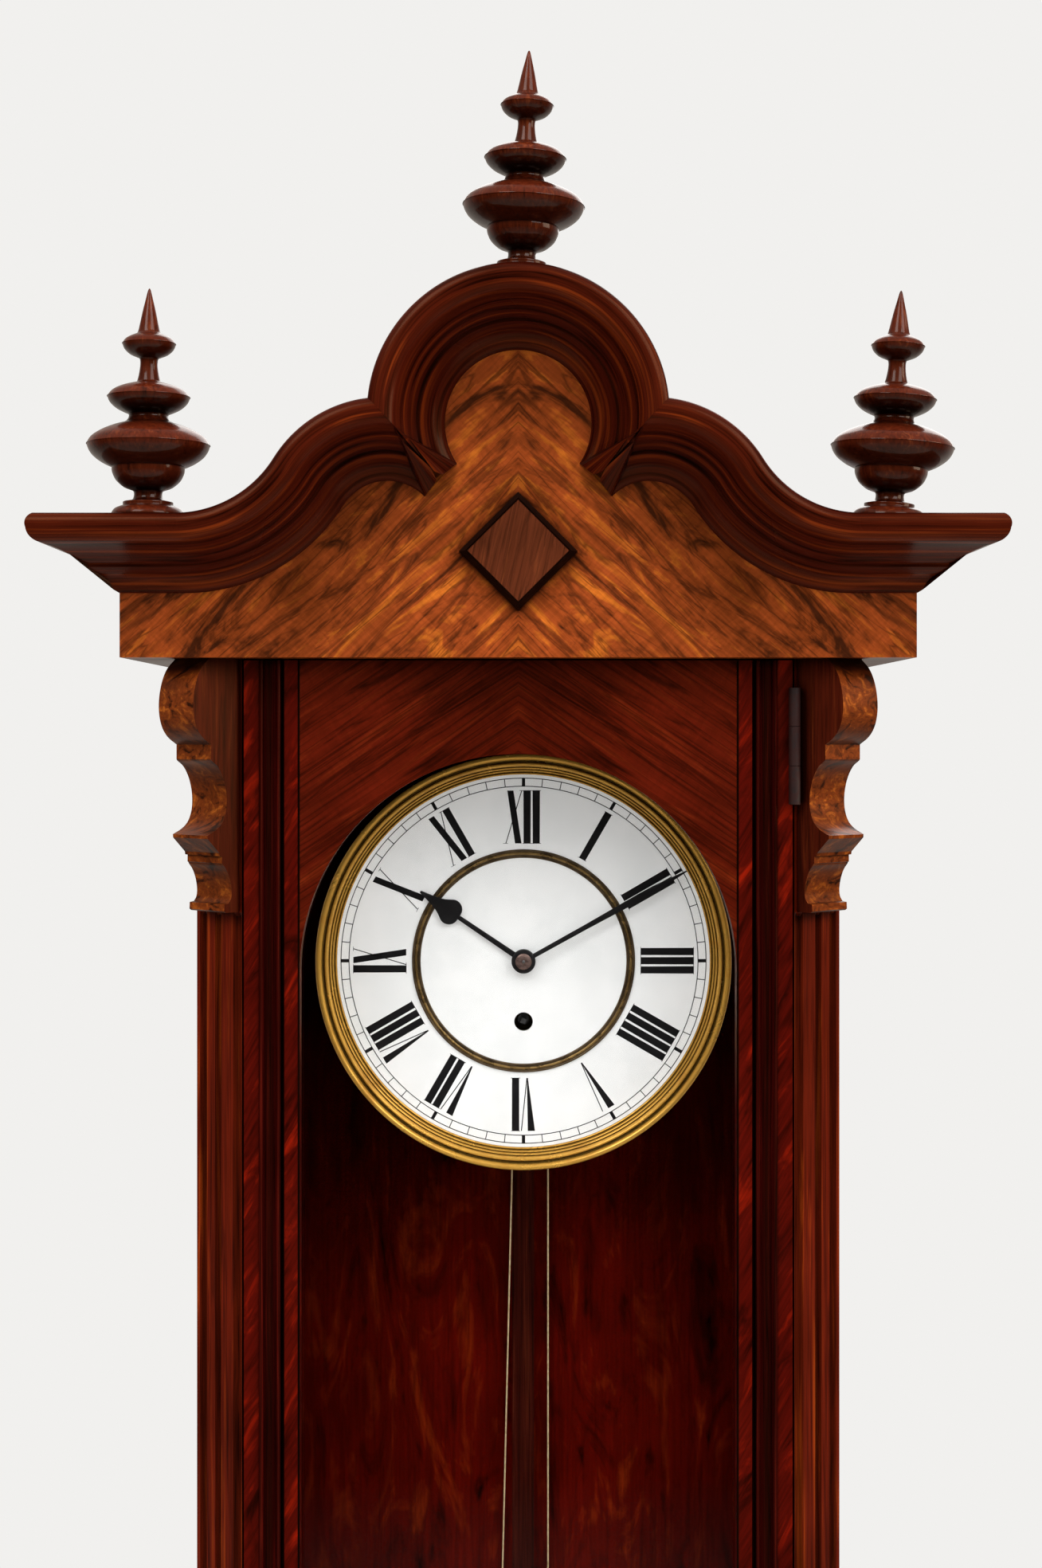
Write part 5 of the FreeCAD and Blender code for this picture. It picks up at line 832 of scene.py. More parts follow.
@dataclass
class DialMarks:
    """Fired figures and tracks on the enamel, each stroke a thin raised skin."""

    surface: float = DIAL_DEPTH
    rise: float = 0.05
    numeral_low: float = 51.0
    numeral_high: float = 74.0
    bar: float = 3.05
    gap: float = 0.95
    hair: float = 0.40
    track_low: float = 75.9
    track_high: float = 79.4
    track_step: float = 3.0
    line: float = 0.36
    mark: float = 1.45
    serif: float = 0.5

    def stroke(self, low: tuple[float, float], high: tuple[float, float]) -> np.ndarray:
        """One stroke as four (across, radius) corners, between spans at the low and high ends."""
        return np.array([(low[0], self.numeral_low), (low[1], self.numeral_low),
                         (high[1], self.numeral_high), (high[0], self.numeral_high)])

    def numeral(self, letters: str) -> list[np.ndarray]:
        """Strokes of one numeral, centred, with its hair lines and serifs.

        Args:
            letters: Such as "VIII".

        Returns:
            Four-cornered strokes in (across, radius).
        """
        strokes = []
        at = 0.0
        for letter in letters:
            if letter == "I":
                strokes.append(self.stroke((at, at + self.bar), (at - 0.08, at + self.bar + 0.08)))
                for r in (self.numeral_low, self.numeral_high):
                    left, right = at - self.serif, at + self.bar + self.serif
                    strokes.append(np.array([(left, r - 0.1), (right, r - 0.1),
                                             (right, r + 0.1), (left, r + 0.1)]))
                at += self.bar + self.gap
            elif letter == "V":
                strokes.append(self.stroke((at + 3.1, at + 3.5), (at, at + 3.1)))
                strokes.append(self.stroke((at + 3.3, at + 3.3 + self.hair),
                                           (at + 5.7, at + 5.7 + self.hair)))
                at += 6.9
            else:
                strokes.append(self.stroke((at + 3.4, at + 6.2), (at, at + 2.7)))
                strokes.append(self.stroke((at - 0.8, at - 0.8 + self.hair),
                                           (at + 6.1, at + 6.1 + self.hair)))
                for r, a, b in ((self.numeral_low, -1.8, 0.3), (self.numeral_high, 5.3, 7.2)):
                    strokes.append(np.array([(at + a, r - 0.1), (at + b, r - 0.1), (at + b, r + 0.1),
                                             (at + a, r + 0.1)]))
                at += 7.1
        shift = np.array([(at - self.gap) / 2, 0])
        return [s - shift for s in strokes]

    def placed(self, corners: np.ndarray, hour_angle: float) -> np.ndarray:
        """Turns (across, radius) into the dial's plane.

        x = r sin t + u cos t and z = r cos t - u sin t, for an angle t clockwise from the top.
        """
        t = math.radians(hour_angle)
        u, r = corners[:, 0], corners[:, 1]
        x = DIAL_CENTRE[0] + r * math.sin(t) + u * math.cos(t)
        z = DIAL_CENTRE[1] + r * math.cos(t) - u * math.sin(t)
        return np.stack([x, z], -1)

    def skin(self, flats: np.ndarray) -> tuple[np.ndarray, np.ndarray]:
        """Thickens flat quads into thin closed skins on the enamel.

        Args:
            flats: An array of quads, each four (x, z) corners in clockwise order seen from the front.

        Returns:
            Points and faces.
        """
        count = len(flats)
        front = -(self.surface + self.rise)
        back = -(self.surface - self.rise)
        rows = [np.stack([flats[..., 0], np.full(flats.shape[:2], y), flats[..., 1]], -1)
                for y in (front, back)]
        points = np.concatenate(rows, 1).reshape(-1, 3)
        box = np.array([[0, 1, 2, 3], [7, 6, 5, 4], [0, 4, 5, 1], [1, 5, 6, 2], [2, 6, 7, 3], [3, 7, 4, 0]])
        faces = (box[None] + 8 * np.arange(count)[:, None, None]).reshape(-1, 4)
        return points, faces

    def build(self) -> None:
        """Makes the numerals, and the minute track with its marks."""
        hours = ["XII", "I", "II", "III", "IIII", "V", "VI", "VII", "VIII", "IX", "X", "XI"]
        quads = [self.placed(s, i * 30) for i, letters in enumerate(hours) for s in self.numeral(letters)]
        points, faces = self.skin(np.array(quads))
        mesh_piece("dial_numerals", points, faces, "enamel_ink", "case")
        quads = []
        for minute in range(60):
            wide = self.mark if minute % 5 == 0 else self.line
            across = np.array([-1, 1, 1, -1]) * wide / 2
            radius = [self.track_low, self.track_low, self.track_high, self.track_high]
            quads.append(self.placed(np.column_stack([across, radius]), minute * 6))
        start = np.arange(0, 360, self.track_step)
        turn = np.radians(np.stack([start, start + self.track_step, start + self.track_step, start], 1))
        for radius in (self.track_low, self.track_high):
            span = radius + np.array([-1, -1, 1, 1]) * self.line / 2
            quads.extend(np.stack([DIAL_CENTRE[0] + span * np.sin(turn),
                                   DIAL_CENTRE[1] + span * np.cos(turn)], -1))
        points, faces = self.skin(np.array(quads))
        mesh_piece("dial_minute_track", points, faces, "enamel_ink", "case")


@dataclass
class Finials:
    """Three turned spires on the crown, each a foot, a wide bowl and two smaller discs under a spike."""

    height: float = 91.5
    radius: float = 24.5
    foot: float = 0.6
    side_spread: float = 148.1
    side_place: tuple[float, float] = (-180.0, 75.8)
    centre_place: tuple[float, float] = (-175.0, 172.9)

    def outline(self) -> np.ndarray:
        """The spire's outline, as a smooth line of radius and height."""
        # A point written twice makes a crisp edge
        shares = np.array([
            (0.600, 0.000), (0.600, 0.010), (0.580, 0.022), (0.535, 0.036), (0.450, 0.046), (0.410, 0.050),
            (0.408, 0.060), (0.395, 0.066), (0.300, 0.070), (0.250, 0.076), (0.228, 0.095), (0.240, 0.112),
            (0.300, 0.119), (0.400, 0.130), (0.520, 0.158), (0.578, 0.188), (0.592, 0.205), (0.592, 0.217),
            (0.592, 0.217), (0.645, 0.222), (0.765, 0.238), (0.895, 0.264), (0.968, 0.291), (1.000, 0.316),
            (1.000, 0.316), (0.930, 0.346), (0.770, 0.375), (0.570, 0.398), (0.400, 0.412), (0.345, 0.424),
            (0.320, 0.438), (0.330, 0.449), (0.400, 0.457), (0.530, 0.475), (0.630, 0.500), (0.670, 0.525),
            (0.670, 0.525), (0.600, 0.549), (0.470, 0.568), (0.300, 0.582), (0.205, 0.589), (0.182, 0.601),
            (0.158, 0.630), (0.142, 0.665), (0.150, 0.690), (0.200, 0.698), (0.310, 0.711), (0.398, 0.733),
            (0.434, 0.757), (0.434, 0.757), (0.385, 0.776), (0.290, 0.791), (0.210, 0.800), (0.182, 0.810),
            (0.156, 0.838), (0.112, 0.895), (0.062, 0.950), (0.024, 0.990), (0.0, 1.0)])
        curve = rounded(shares * [self.radius, self.height], 3)
        curve[:, 0] = np.maximum(curve[:, 0], 0)
        return np.vstack([[0.0, 0.0], curve])

    def build(self) -> None:
        """Turns the three finials; two of them lean to the right on their pegs, as in the photograph."""
        outline = self.outline()
        for name, x, (y, z), lean in (
            ("left", -self.side_spread, self.side_place, 0.4),
            ("centre", 1.2, self.centre_place, 2.0),
            ("right", self.side_spread, self.side_place, 3.2),
        ):
            points, faces = lathe(outline, (0, 0, 0), segments=72)
            sink = self.foot * self.radius * math.sin(math.radians(lean))
            points = points @ about_depth(lean) + [x, y, z - sink]
            piece = mesh_piece(f"finial_turned_{name}", points, faces, "turned_wood", "case", 32)
            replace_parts(piece, f"finial_{name}")


@dataclass
class Cornice:
    """The crown's cornice: flat ends, hollow and round shoulders and an arch, one section all along."""

    projection: float = 31.6
    height: float = 29.8
    front: float = 168.0
    half_width: float = 161.5
    low: float = 46.0
    crown_foot: float = 20.0
    concave: tuple[float, float, float] = (135.0, 101.64, 75.64)
    shoulder: tuple[float, float, float] = (53.0, 50.5, 21.0)
    arch: tuple[float, float, float] = (0.0, 94.8, 29.7)
    outer: tuple[float, float] = (59.19, 100.93)
    saddle: tuple[float, float] = (31.64, 71.99)
    saddle_offset: float = 9.3
    shoulder_end: tuple[float, float] = (38.02, 65.22)
    arch_end: tuple[float, float] = (24.80, 78.45)
    bend_steps: int = 28
    arch_steps: int = 72

    def section(self) -> np.ndarray:
        """The section as a closed line of projection and height."""
        shares = [(0, 0), (0.07, 0.047), ((0.135, 0.175), (0.25, 0.258)), (0.348, 0.329), (0.348, 0.37),
                  (0.408, 0.40), ((0.62, 0.53), (0.867, 0.624)), ((0.965, 0.70), (1.0, 0.80)),
                  ((0.995, 0.93), (0.93, 1.0)), (0, 1.0), (0, 0)]
        return traced(shares, self.projection, self.height)

    def crossing(self, run: tuple, rise: np.ndarray, end: tuple) -> np.ndarray:
        """Angle at which each offset circle of a run crosses the mitre.

        The mitre is two straight lines, from the outer point to the saddle and on to the run's end. On the
        line p + t d, the circle of radius r about c is met where |p - c + t d| = r.

        Args:
            run: Centre and radius of the run's lower edge.
            rise: How far out each circle lies.
            end: The run's end point on its lower edge.

        Returns:
            The angles in radians.
        """
        centre = np.array(run[:2])
        high = rise >= self.saddle_offset
        start = np.where(high[:, None], self.saddle, end)
        stop = np.where(high[:, None], self.outer, self.saddle)
        way = stop - start
        off = start - centre
        a = (way ** 2).sum(1)
        b = (way * off).sum(1)
        c = (off ** 2).sum(1) - (run[2] + rise) ** 2
        root = np.sqrt(np.maximum(b * b - a * c, 0))
        share = np.stack([(-b - root) / a, (-b + root) / a])
        best = np.take_along_axis(share, np.abs(share - 0.5).argmin(0)[None], 0)[0]
        met = start + np.clip(best, 0, 1)[:, None] * way - centre
        return np.arctan2(met[:, 1], met[:, 0])

    def turned_run(self, run: tuple, start: np.ndarray, stop: np.ndarray, outward: int,
                   steps: int) -> np.ndarray:
        """The section carried round a centre, from one angle to another at each height.

        A point is c + (r + outward * height) * (cos a, sin a) in the front plane, at the section's depth.

        Args:
            run: Centre and radius of the run's lower edge.
            start: First angle for each point of the section.
            stop: Last angle for each point of the section.
            outward: 1 where the section rises away from the centre, -1 where it rises towards it.
            steps: Steps along the run.

        Returns:
            Points by ring and by place in the section.
        """
        section = self.section()
        share = np.linspace(0, 1, steps + 1)[:, None]
        angle = start + (stop - start) * share
        radius = run[2] + outward * section[:, 1]
        x = run[0] + radius * np.cos(angle)
        z = self.crown_foot + run[1] + radius * np.sin(angle)
        y = np.broadcast_to(-(self.front + section[:, 0]), x.shape)
        return np.stack([x, y, z], -1)

    def strip(self, name: str, rings: np.ndarray, node: str) -> None:
        """Makes one run of moulding from its rings, closed at both ends.

        Args:
            name: The piece's name.
            rings: Points by ring and by place in the section.
            node: The CAD node that it stands for.
        """
        middle = rings.mean(1)
        along = np.concatenate([[0], np.cumsum(np.linalg.norm(np.diff(middle, axis=0), axis=1))])
        across = np.concatenate([[0], np.cumsum(np.linalg.norm(np.diff(self.section(), axis=0), axis=1))])
        rings = capped(rings)
        along = np.concatenate([along[:1], along, along[-1:]])
        uv = np.stack(np.broadcast_arrays(along[:, None], across[None]), -1).reshape(-1, 2)
        faces = grid_faces(*rings.shape[:2])
        piece = mesh_piece(name, rings.reshape(-1, 3), faces, "cornice_wood", "case", 40, uv)
        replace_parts(piece, node)

    def build(self) -> None:
        """Makes the front's five runs as three strips, and the two returns."""
        section = self.section()
        rise, out = section[:, 1], section[:, 0]
        bottom = math.radians(-90)
        touch = math.atan2(self.shoulder[1] - self.concave[1], self.shoulder[0] - self.concave[0])
        begin = math.atan2(self.concave[1] - self.shoulder[1], self.concave[0] - self.shoulder[0])
        ones = np.ones(len(section))
        corner = np.stack([self.half_width + out, -(self.front + out), self.low + rise], -1)
        hollow = self.turned_run(self.concave, bottom * ones, touch * ones, -1, self.bend_steps)
        shoulder_mitre = self.crossing(self.shoulder, rise, self.shoulder_end)
        round_run = self.turned_run(self.shoulder, begin * ones, shoulder_mitre, 1, self.bend_steps)
        right = np.concatenate([corner[None], hollow, round_run[1:]])
        arch_mitre = self.crossing(self.arch, rise, self.arch_end)
        arch = self.turned_run(self.arch, arch_mitre, math.pi - arch_mitre, 1, self.arch_steps)
        mirror = np.array([-1, 1, 1])
        self.strip("cornice_right", right, "cornice_front")
        self.strip("cornice_left", right * mirror, "cornice_front")
        self.strip("cornice_arch", arch, "cornice_front")
        rear = corner * [1, 0, 1]
        for name, side in (("right", 1), ("left", -1)):
            rings = np.stack([rear, corner]) * [side, 1, 1]
            self.strip(f"cornice_return_{name}", rings, "cornice_returns")


@dataclass
class DialRim:
    """Spun brass bezel, the dark bronze joint ring, and the hub in front of the hands."""

    bore: float = 81.0
    ring_inner: float = 44.75
    ring_outer: float = 48.45
    ring_rise: float = 0.45
    hub_depth: float = 101.2

    def build(self) -> None:
        """Turns the bezel and the ring, and fits the hub; radii are written from the bezel's bore."""
        centre = (DIAL_CENTRE[0], -DIAL_DEPTH, DIAL_CENTRE[1])
        front = rounded(np.array([
            (0.0, 0.7), (0.15, 1.2), (0.5, 1.4), (0.8, 1.2), (0.95, 0.95), (1.15, 1.2), (1.5, 2.1),
            (1.9, 2.3), (2.1, 2.1), (2.25, 2.2), (2.5, 3.2), (2.95, 3.6), (3.2, 3.4), (3.35, 3.5),
            (3.6, 4.9), (4, 5.8), (4.5, 6.1), (5, 5.9), (5.3, 5.4), (5.5, 5.0), (5.8, 4.9),
            (6.05, 5.4), (6.3, 6.4), (6.8, 7.4), (7.5, 7.8), (8.2, 7.7), (8.75, 7.1), (9, 6.1)]), 4)
        back = np.array([(9, -2.6), (7.4, -2.6), (7.4, -1.0), (3.15, -1.0), (3.15, 0.0), (0.0, 0.0),
                         (0.0, 0.7)])
        points, faces = lathe(np.vstack([front, back]) + [self.bore, 0], centre, "Y", 192)
        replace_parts(mesh_piece("bezel_spun", points, faces, "dial_brass", "case", 50), "bezel")
        inner, outer, rise = self.ring_inner, self.ring_outer, self.ring_rise
        ground = np.array([(inner, 0.0), (inner, rise), (outer, rise), (outer, 0.0), (inner, 0.0)])
        points, faces = lathe(ground, centre, "Y", 160)
        ring = mesh_piece("dial_ring_ground", points, faces, "ring_bronze", "case", 30)
        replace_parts(ring, "dial_ring")
        # The middle bead takes a paler, shinier bronze: a painted highlight line
        for name, radius, thick, finish_name in (("inner", 45.2, 0.45, "ring_bronze"),
                                                 ("middle", 46.7, 0.62, "ring_lit_bead"),
                                                 ("outer", 48.0, 0.5, "ring_bronze")):
            turn = np.linspace(0, 2 * np.pi, 13)
            bead = np.stack([radius + thick * np.cos(turn), rise + thick * np.sin(turn)], -1)
            points, faces = lathe(bead, centre, "Y", 160)
            mesh_piece(f"dial_ring_bead_{name}", points, faces, finish_name, "case", 60)
        hub = (DIAL_CENTRE[0], -self.hub_depth, DIAL_CENTRE[1])
        collet = rounded(np.array([(5.0, 0.0), (5.1, 0.25), (4.9, 0.5), (4.3, 0.6)]), 4)
        points, faces = lathe(np.vstack([[0, 0], collet, [0, 0.6]]), hub, "Y", 64)
        mesh_piece("hand_collet", points, faces, "blackened_steel", "minute_arbor", 50)
        washer = rounded(np.array([(3.5, 0.6), (3.5, 0.9), (3.1, 1.25), (2.2, 1.5), (1.7, 1.55)]), 4)
        points, faces = lathe(np.vstack([[0, 0.6], washer, [0, 1.55]]), hub, "Y", 64)
        mesh_piece("hand_washer", points, faces, "hub_brass", "minute_arbor", 50)
        end = np.array([(0, 1.5), (0.7, 1.5), (0.7, 1.75), (0.5, 1.95), (0, 2.0)])
        points, faces = lathe(end, hub, "Y", 32)
        mesh_piece("centre_arbor_end", points, faces, "steel", "minute_arbor", 40)


@dataclass
class Hands:
    """Blackened steel hands: a pear-headed hour hand and a slim minute hand, thin at the edges."""

    hub: float = 5.2
    thickness: float = 0.6
    dome: float = 0.18

    def hand(self, name: str, right: list, depth: float, clockwise: float, body: str, node: str) -> None:
        """Makes one hand from the right half of its outline, slightly domed along its middle.

        A point at (w, h) of the outline is carried across by a share q from -1 to 1: it lies at (q w, h), and
        its face stands out by the dome times 1 - q^2.

        Args:
            name: The piece's name.
            right: Stops and arcs of the right edge, half width and height in millimetres, from the tail up.
            depth: Depth of the hand's front.
            clockwise: Where the hand points, in degrees from the top.
            body: The body that it rides on.
            node: The CAD node that it stands for.
        """
        edge = traced(right, 1.0, 1.0, 14)
        q = np.linspace(-1, 1, 9)
        wide = edge[:, :1] * q
        high = np.repeat(edge[:, 1:], len(q), 1)
        out = np.broadcast_to(self.dome * (1 - q ** 2), wide.shape)
        front = np.stack([wide, -(depth + out), high], -1)
        back = np.stack([wide, np.full(wide.shape, -(depth - self.thickness)), high], -1)[:, ::-1]
        rings = capped(np.concatenate([front, back], 1))
        points = rings.reshape(-1, 3) @ about_depth(clockwise) + [DIAL_CENTRE[0], 0, DIAL_CENTRE[1]]
        faces = grid_faces(*rings.shape[:2], True)
        piece = mesh_piece(name, points, faces, "blackened_steel", body, 30)
        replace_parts(piece, node)

    def hub_edge(self, stem: float) -> list:
        """The hub's right edge, round from its foot up to a stem of this half width."""
        return [(0.01, -self.hub), ((self.hub * 0.707, -self.hub * 0.707), (self.hub, 0.0)),
                ((self.hub * 0.85, self.hub * 0.527), (stem, math.sqrt(self.hub ** 2 - stem ** 2)))]

    def build(self) -> None:
        """Cuts both hands."""
        hour = self.hub_edge(1.2) + [
            (0.95, 33.9), ((5.1, 36.1), (4.7, 40.8)), ((2.6, 44.8), (1.6, 48.6)), (0.45, 54.0), (0.01, 54.0)]
        self.hand("hour_hand_pear", hour, 99.2, 304.0, "hour_arbor", "hour_hand")
        minute = self.hub_edge(0.95) + [
            (1.05, 30.0), (1.5, 58.3), (1.4, 64.8), (0.28, 81.0), (0.01, 81.0)]
        self.hand("minute_hand_slim", minute, 101.2, 61.0, "minute_arbor", "minute_hand")


@dataclass
class Boss:
    """Diamond on the pediment: a black bevelled rim round a brown field."""

    reach: float = 24.0
    rim: float = 21.4
    field: float = 20.6
    thickness: float = 7.0
    bevel: float = 3.2
    front: float = 168.0
    height: float = 62.7

    def build(self) -> None:
        """Cuts the rim and the field as four-sided turnings."""
        centre = (0.0, -self.front, self.height)
        low = self.thickness - self.bevel / 2
        rim = np.array([(0, 0), (self.reach, 0), (self.reach, self.thickness - self.bevel),
                        (self.reach - 0.4, self.thickness - self.bevel + 0.6), (self.rim, self.thickness),
                        (self.field, self.thickness), (self.field, low), (0, low)])
        points, faces = lathe(rim, centre, "Y", 4)
        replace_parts(mesh_piece("boss_rim", points, faces, "ebonised", "case", 20), "diamond_boss")
        top = self.thickness + 0.05
        field = np.array([(0, low + 0.1), (self.field - 0.05, low + 0.1), (self.field - 0.05, top - 0.2),
                          (self.field - 0.3, top), (0, top)])
        points, faces = lathe(field, centre, "Y", 4)
        mesh_piece("boss_field", points, faces, "boss_field", "case", 20)


def extrusion(section: np.ndarray, low: float, high: float) -> tuple[np.ndarray, np.ndarray]:
    """A closed section in plan carried straight up, with closed ends.

    Args:
        section: Points (x, y), the last one left out.
        low: Lower end.
        high: Upper end.

    Returns:
        Points and faces.
    """
    rings = capped(np.stack([np.column_stack([section, np.full(len(section), z)]) for z in (low, high)]))
    return rings.reshape(-1, 3), grid_faces(*rings.shape[:2], True)


@dataclass
class DoorMouldings:
    """Dark reeded hollow that runs up each stile between the two crossband strips."""

    outer: float = 106.95
    width: float = 10.4
    front: float = 150.0
    sink: float = 4.0
    low: float = -708.9
    high: float = 19.4

    def section(self) -> np.ndarray:
        """The section from the outer edge inwards: width from that edge and rise over the door's face."""
        return np.vstack([
            [(0.0, -self.sink), (0.0, 0.5)],
            rounded(np.array([(0.25, 1.05), (0.8, 1.4), (1.4, 1.1), (1.75, 0.4)]), 5),
            rounded(np.array([(1.95, -0.5), (2.2, -1.5), (2.9, -2.3), (4.2, -2.6), (5.6, -2.2), (6.6, -1.3),
                              (7.1, -0.2)]), 5),
            rounded(np.array([(7.25, 0.5), (7.6, 1.1), (8.1, 1.3), (8.6, 0.9), (8.85, 0.2)]), 5),
            [(8.9, -1.6), (9.3, -2.6), (9.9, -2.6), (10.1, -0.6), (self.width, -0.2),
             (self.width, -self.sink)],
        ])

    def build(self) -> None:
        """Runs the moulding up both stiles."""
        section = self.section()
        for name, side in (("left", -1), ("right", 1)):
            plan = np.column_stack([side * (self.outer - section[:, 0]), -(self.front + section[:, 1])])
            points, faces = extrusion(plan, self.low, self.high)
            piece = mesh_piece(f"door_moulding_{name}", points, faces, "moulding_wood", "door", 40)
            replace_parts(piece, "door_mouldings")


@dataclass
class Corbels:
    """Scrolled brackets on the canted corners: a full roll, a hollow, a sharp nose and a small hollow."""

    reach: float = 25.6
    height: float = 104.6
    thickness: float = 23.4
    foot: tuple[float, float] = (123.62, -140.38)
    top: float = 20.0

    def outline(self) -> np.ndarray:
        """The scrolled front, from the top down: shares of the reach and of the height."""
        return np.vstack([
            rounded(np.array([(0.600, 1.000), (0.745, 0.965), (0.835, 0.925), (0.895, 0.875), (0.921, 0.820),
                              (0.905, 0.770), (0.845, 0.725), (0.735, 0.690), (0.567, 0.662)]), 5),
            [(0.567, 0.604)],
            rounded(np.array([(0.552, 0.598), (0.430, 0.575), (0.330, 0.535), (0.270, 0.487), (0.250, 0.440),
                              (0.270, 0.395), (0.340, 0.355), (0.460, 0.328), (0.640, 0.306)]), 5),
            [(0.635, 0.293), (0.400, 0.236), (0.392, 0.224), (0.345, 0.222), (0.345, 0.195), (0.325, 0.192)],
            rounded(np.array([(0.320, 0.188), (0.240, 0.162), (0.180, 0.125), (0.152, 0.085), (0.165, 0.055),
                              (0.215, 0.036)]), 5),
            [(0.300, 0.033), (0.305, 0.006), (0.270, 0.000)],
        ])

    def build(self) -> None:
        """Carries the corbel's level rectangle, from the post out to the scrolled front, down its height."""
        shape = self.outline() * [self.reach, self.height]
        across = np.array([-1, -1, 1, 1]) * self.thickness / 2
        reach = shape[:, :1] * np.array([0, 1, 1, 0])
        high = np.repeat(shape[:, 1:] + self.top - self.height, 4, 1)
        last = 4 * len(shape)
        faces = np.vstack([grid_faces(len(shape), 4, True),
                           [[0, 1, 2, 3], [last - 4, last - 3, last - 2, last - 1]]])
        for name, side in (("left", -1), ("right", 1)):
            away = np.array([side, -1]) / math.sqrt(2)
            along = np.array([1, side]) / math.sqrt(2)
            plan = np.array(self.foot) * [side, 1] + reach[:, :, None] * away + across[None, :, None] * along
            points = np.concatenate([plan, high[:, :, None]], 2).reshape(-1, 3)
            piece = mesh_piece(f"corbel_scrolled_{name}", points, faces, "corbel_wood", "case", 30)
            # The scrolled front, its grain turned across, gets a paler walnut than the flanks: a painted
            # highlight, with painted shade on its faces that look down
            piece.data.materials.append(finish("corbel_lit_front"))
            facing = np.empty(3 * len(piece.data.polygons))
            piece.data.polygons.foreach_get("normal", facing)
            lit_front_faces = np.abs(facing.reshape(-1, 3)[:, :2] @ along) < 0.5
            piece.data.polygons.foreach_set("material_index", lit_front_faces.astype(np.int32))
            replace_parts(piece, "corbels")


@dataclass
class Posts:
    """Canted corner posts, with three deep flutes below the corbels."""

    inner: float = 114.0
    cant: float = 21.5
    depth: float = 150.0
    rear: float = 112.0
    stop: float = 104.0
    door_back: float = 129.6
    hollow: float = 2.5
    low: float = -709.5
    high: float = 20.0
    flute_low: float = -688.0
    flute_high: float = -86.6
    run_out: float = 1.8
    flutes: tuple = ((0.3, 5.9), (13.9, 18.1), (23.6, 28.2))
    bolt_seat: tuple = (4.65, 132.6, 136.4, -413.9, -405.1)
    leaf_seats: tuple = (1.2, 135.0, ((-697.5, -649.5), (-40.0, 8.0)))

    def section(self, side: int, flute: float, bite: float) -> np.ndarray:
        """Plan of one post at one height.

        A flute from a to b along the cant is a hollow of depth h sin(pi (s - a) / (b - a)) to the power 0.6.

        Args:
            side: -1 for the left post, 1 for the right one.
            flute: How deep the flutes are here, from 0 to 1.
            bite: How deep the seat of the bolt or the hinge leaf is here, from 0 to 1.

        Returns:
            Points (x, y).
        """
        length = self.cant * math.sqrt(2)
        stations = [0.0]
        sinks = [0.0]
        for a, b in self.flutes:
            share = np.linspace(0, 1, 11)
            stations += list(a + (b - a) * share)
            sinks += list(self.hollow * flute * np.sin(np.pi * share) ** 0.6)
        along = np.array(stations + [length])
        sink = np.array(sinks + [0.0])
        if side > 0:
            along = np.maximum(along, bite * self.leaf_seats[0] * math.sqrt(2))
        half = math.sqrt(0.5)
        face = np.stack([self.inner + (along - sink) * half, self.depth - (along + sink) * half], -1)
        back = [(self.inner + self.cant, self.rear), (self.stop, self.rear), (self.stop, self.door_back),
                (self.inner, self.door_back)]
        if side > 0:
            out = self.inner + bite * self.leaf_seats[0]
            seat = [(self.inner, self.leaf_seats[1]), (out, self.leaf_seats[1])]
        else:
            reach, near, far = self.bolt_seat[:3]
            seat = [(self.inner, near), (self.inner + bite * reach, near), (self.inner + bite * reach, far),
                    (self.inner, far)]
        return np.vstack([face, back, seat]) * [side, -1]

    def build(self) -> None:
        """Shapes both posts."""
        step = 0.05
        plain = [(self.low, 0.0), (self.flute_low - self.run_out, 0.0), (self.flute_low, 1.0),
                 (self.flute_high, 1.0), (self.flute_high + self.run_out, 0.0), (self.high, 0.0)]
        for name, side, node in (("left", -1, "corner_post_left"), ("right", 1, "corner_post_right")):
            seats = [self.bolt_seat[3:]] if side < 0 else list(self.leaf_seats[2])
            ends = [z for a, b in seats for z in (a - step, a, b, b + step)]
            heights = sorted([z for z, _ in plain] + ends)
            levels, depths = zip(*plain)
            rings = []
            for z in heights:
                bite = float(any(a <= z <= b for a, b in seats))
                flat = self.section(side, float(np.interp(z, levels, depths)), bite)
                rings.append(np.column_stack([flat, np.full(len(flat), z)]))
            rings = capped(np.stack(rings))
            piece = mesh_piece(f"post_fluted_{name}", rings.reshape(-1, 3),
                               grid_faces(*rings.shape[:2], True), "post_wood", "case", 28)
            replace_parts(piece, node)


@dataclass
class RebateShadowLines:
    """Painted shadow: a dark strip along the inner edge of each stile, standing for the shade in the gap
    where the panel and the pane begin.
    """

    inner: float = 90.25
    width: float = 0.75
    front: float = 150.0
    sink: float = 1.0
    rise: float = 0.12
    low: float = -708.9
    high: float = 19.4

    def build(self) -> None:
        """Lays both lines."""
        for name, side in (("left", -1), ("right", 1)):
            near, far = self.front + self.rise, self.front - self.sink
            outer = self.inner + self.width
            plan = np.array([(self.inner, far), (outer, far), (outer, near), (self.inner, near)])
            points, faces = extrusion(plan * [side, -1], self.low, self.high)
            # The ebonised strip is a painted shadow line
            mesh_piece(f"door_rebate_shadow_line_{name}", points, faces, "ebonised", "door", 20)


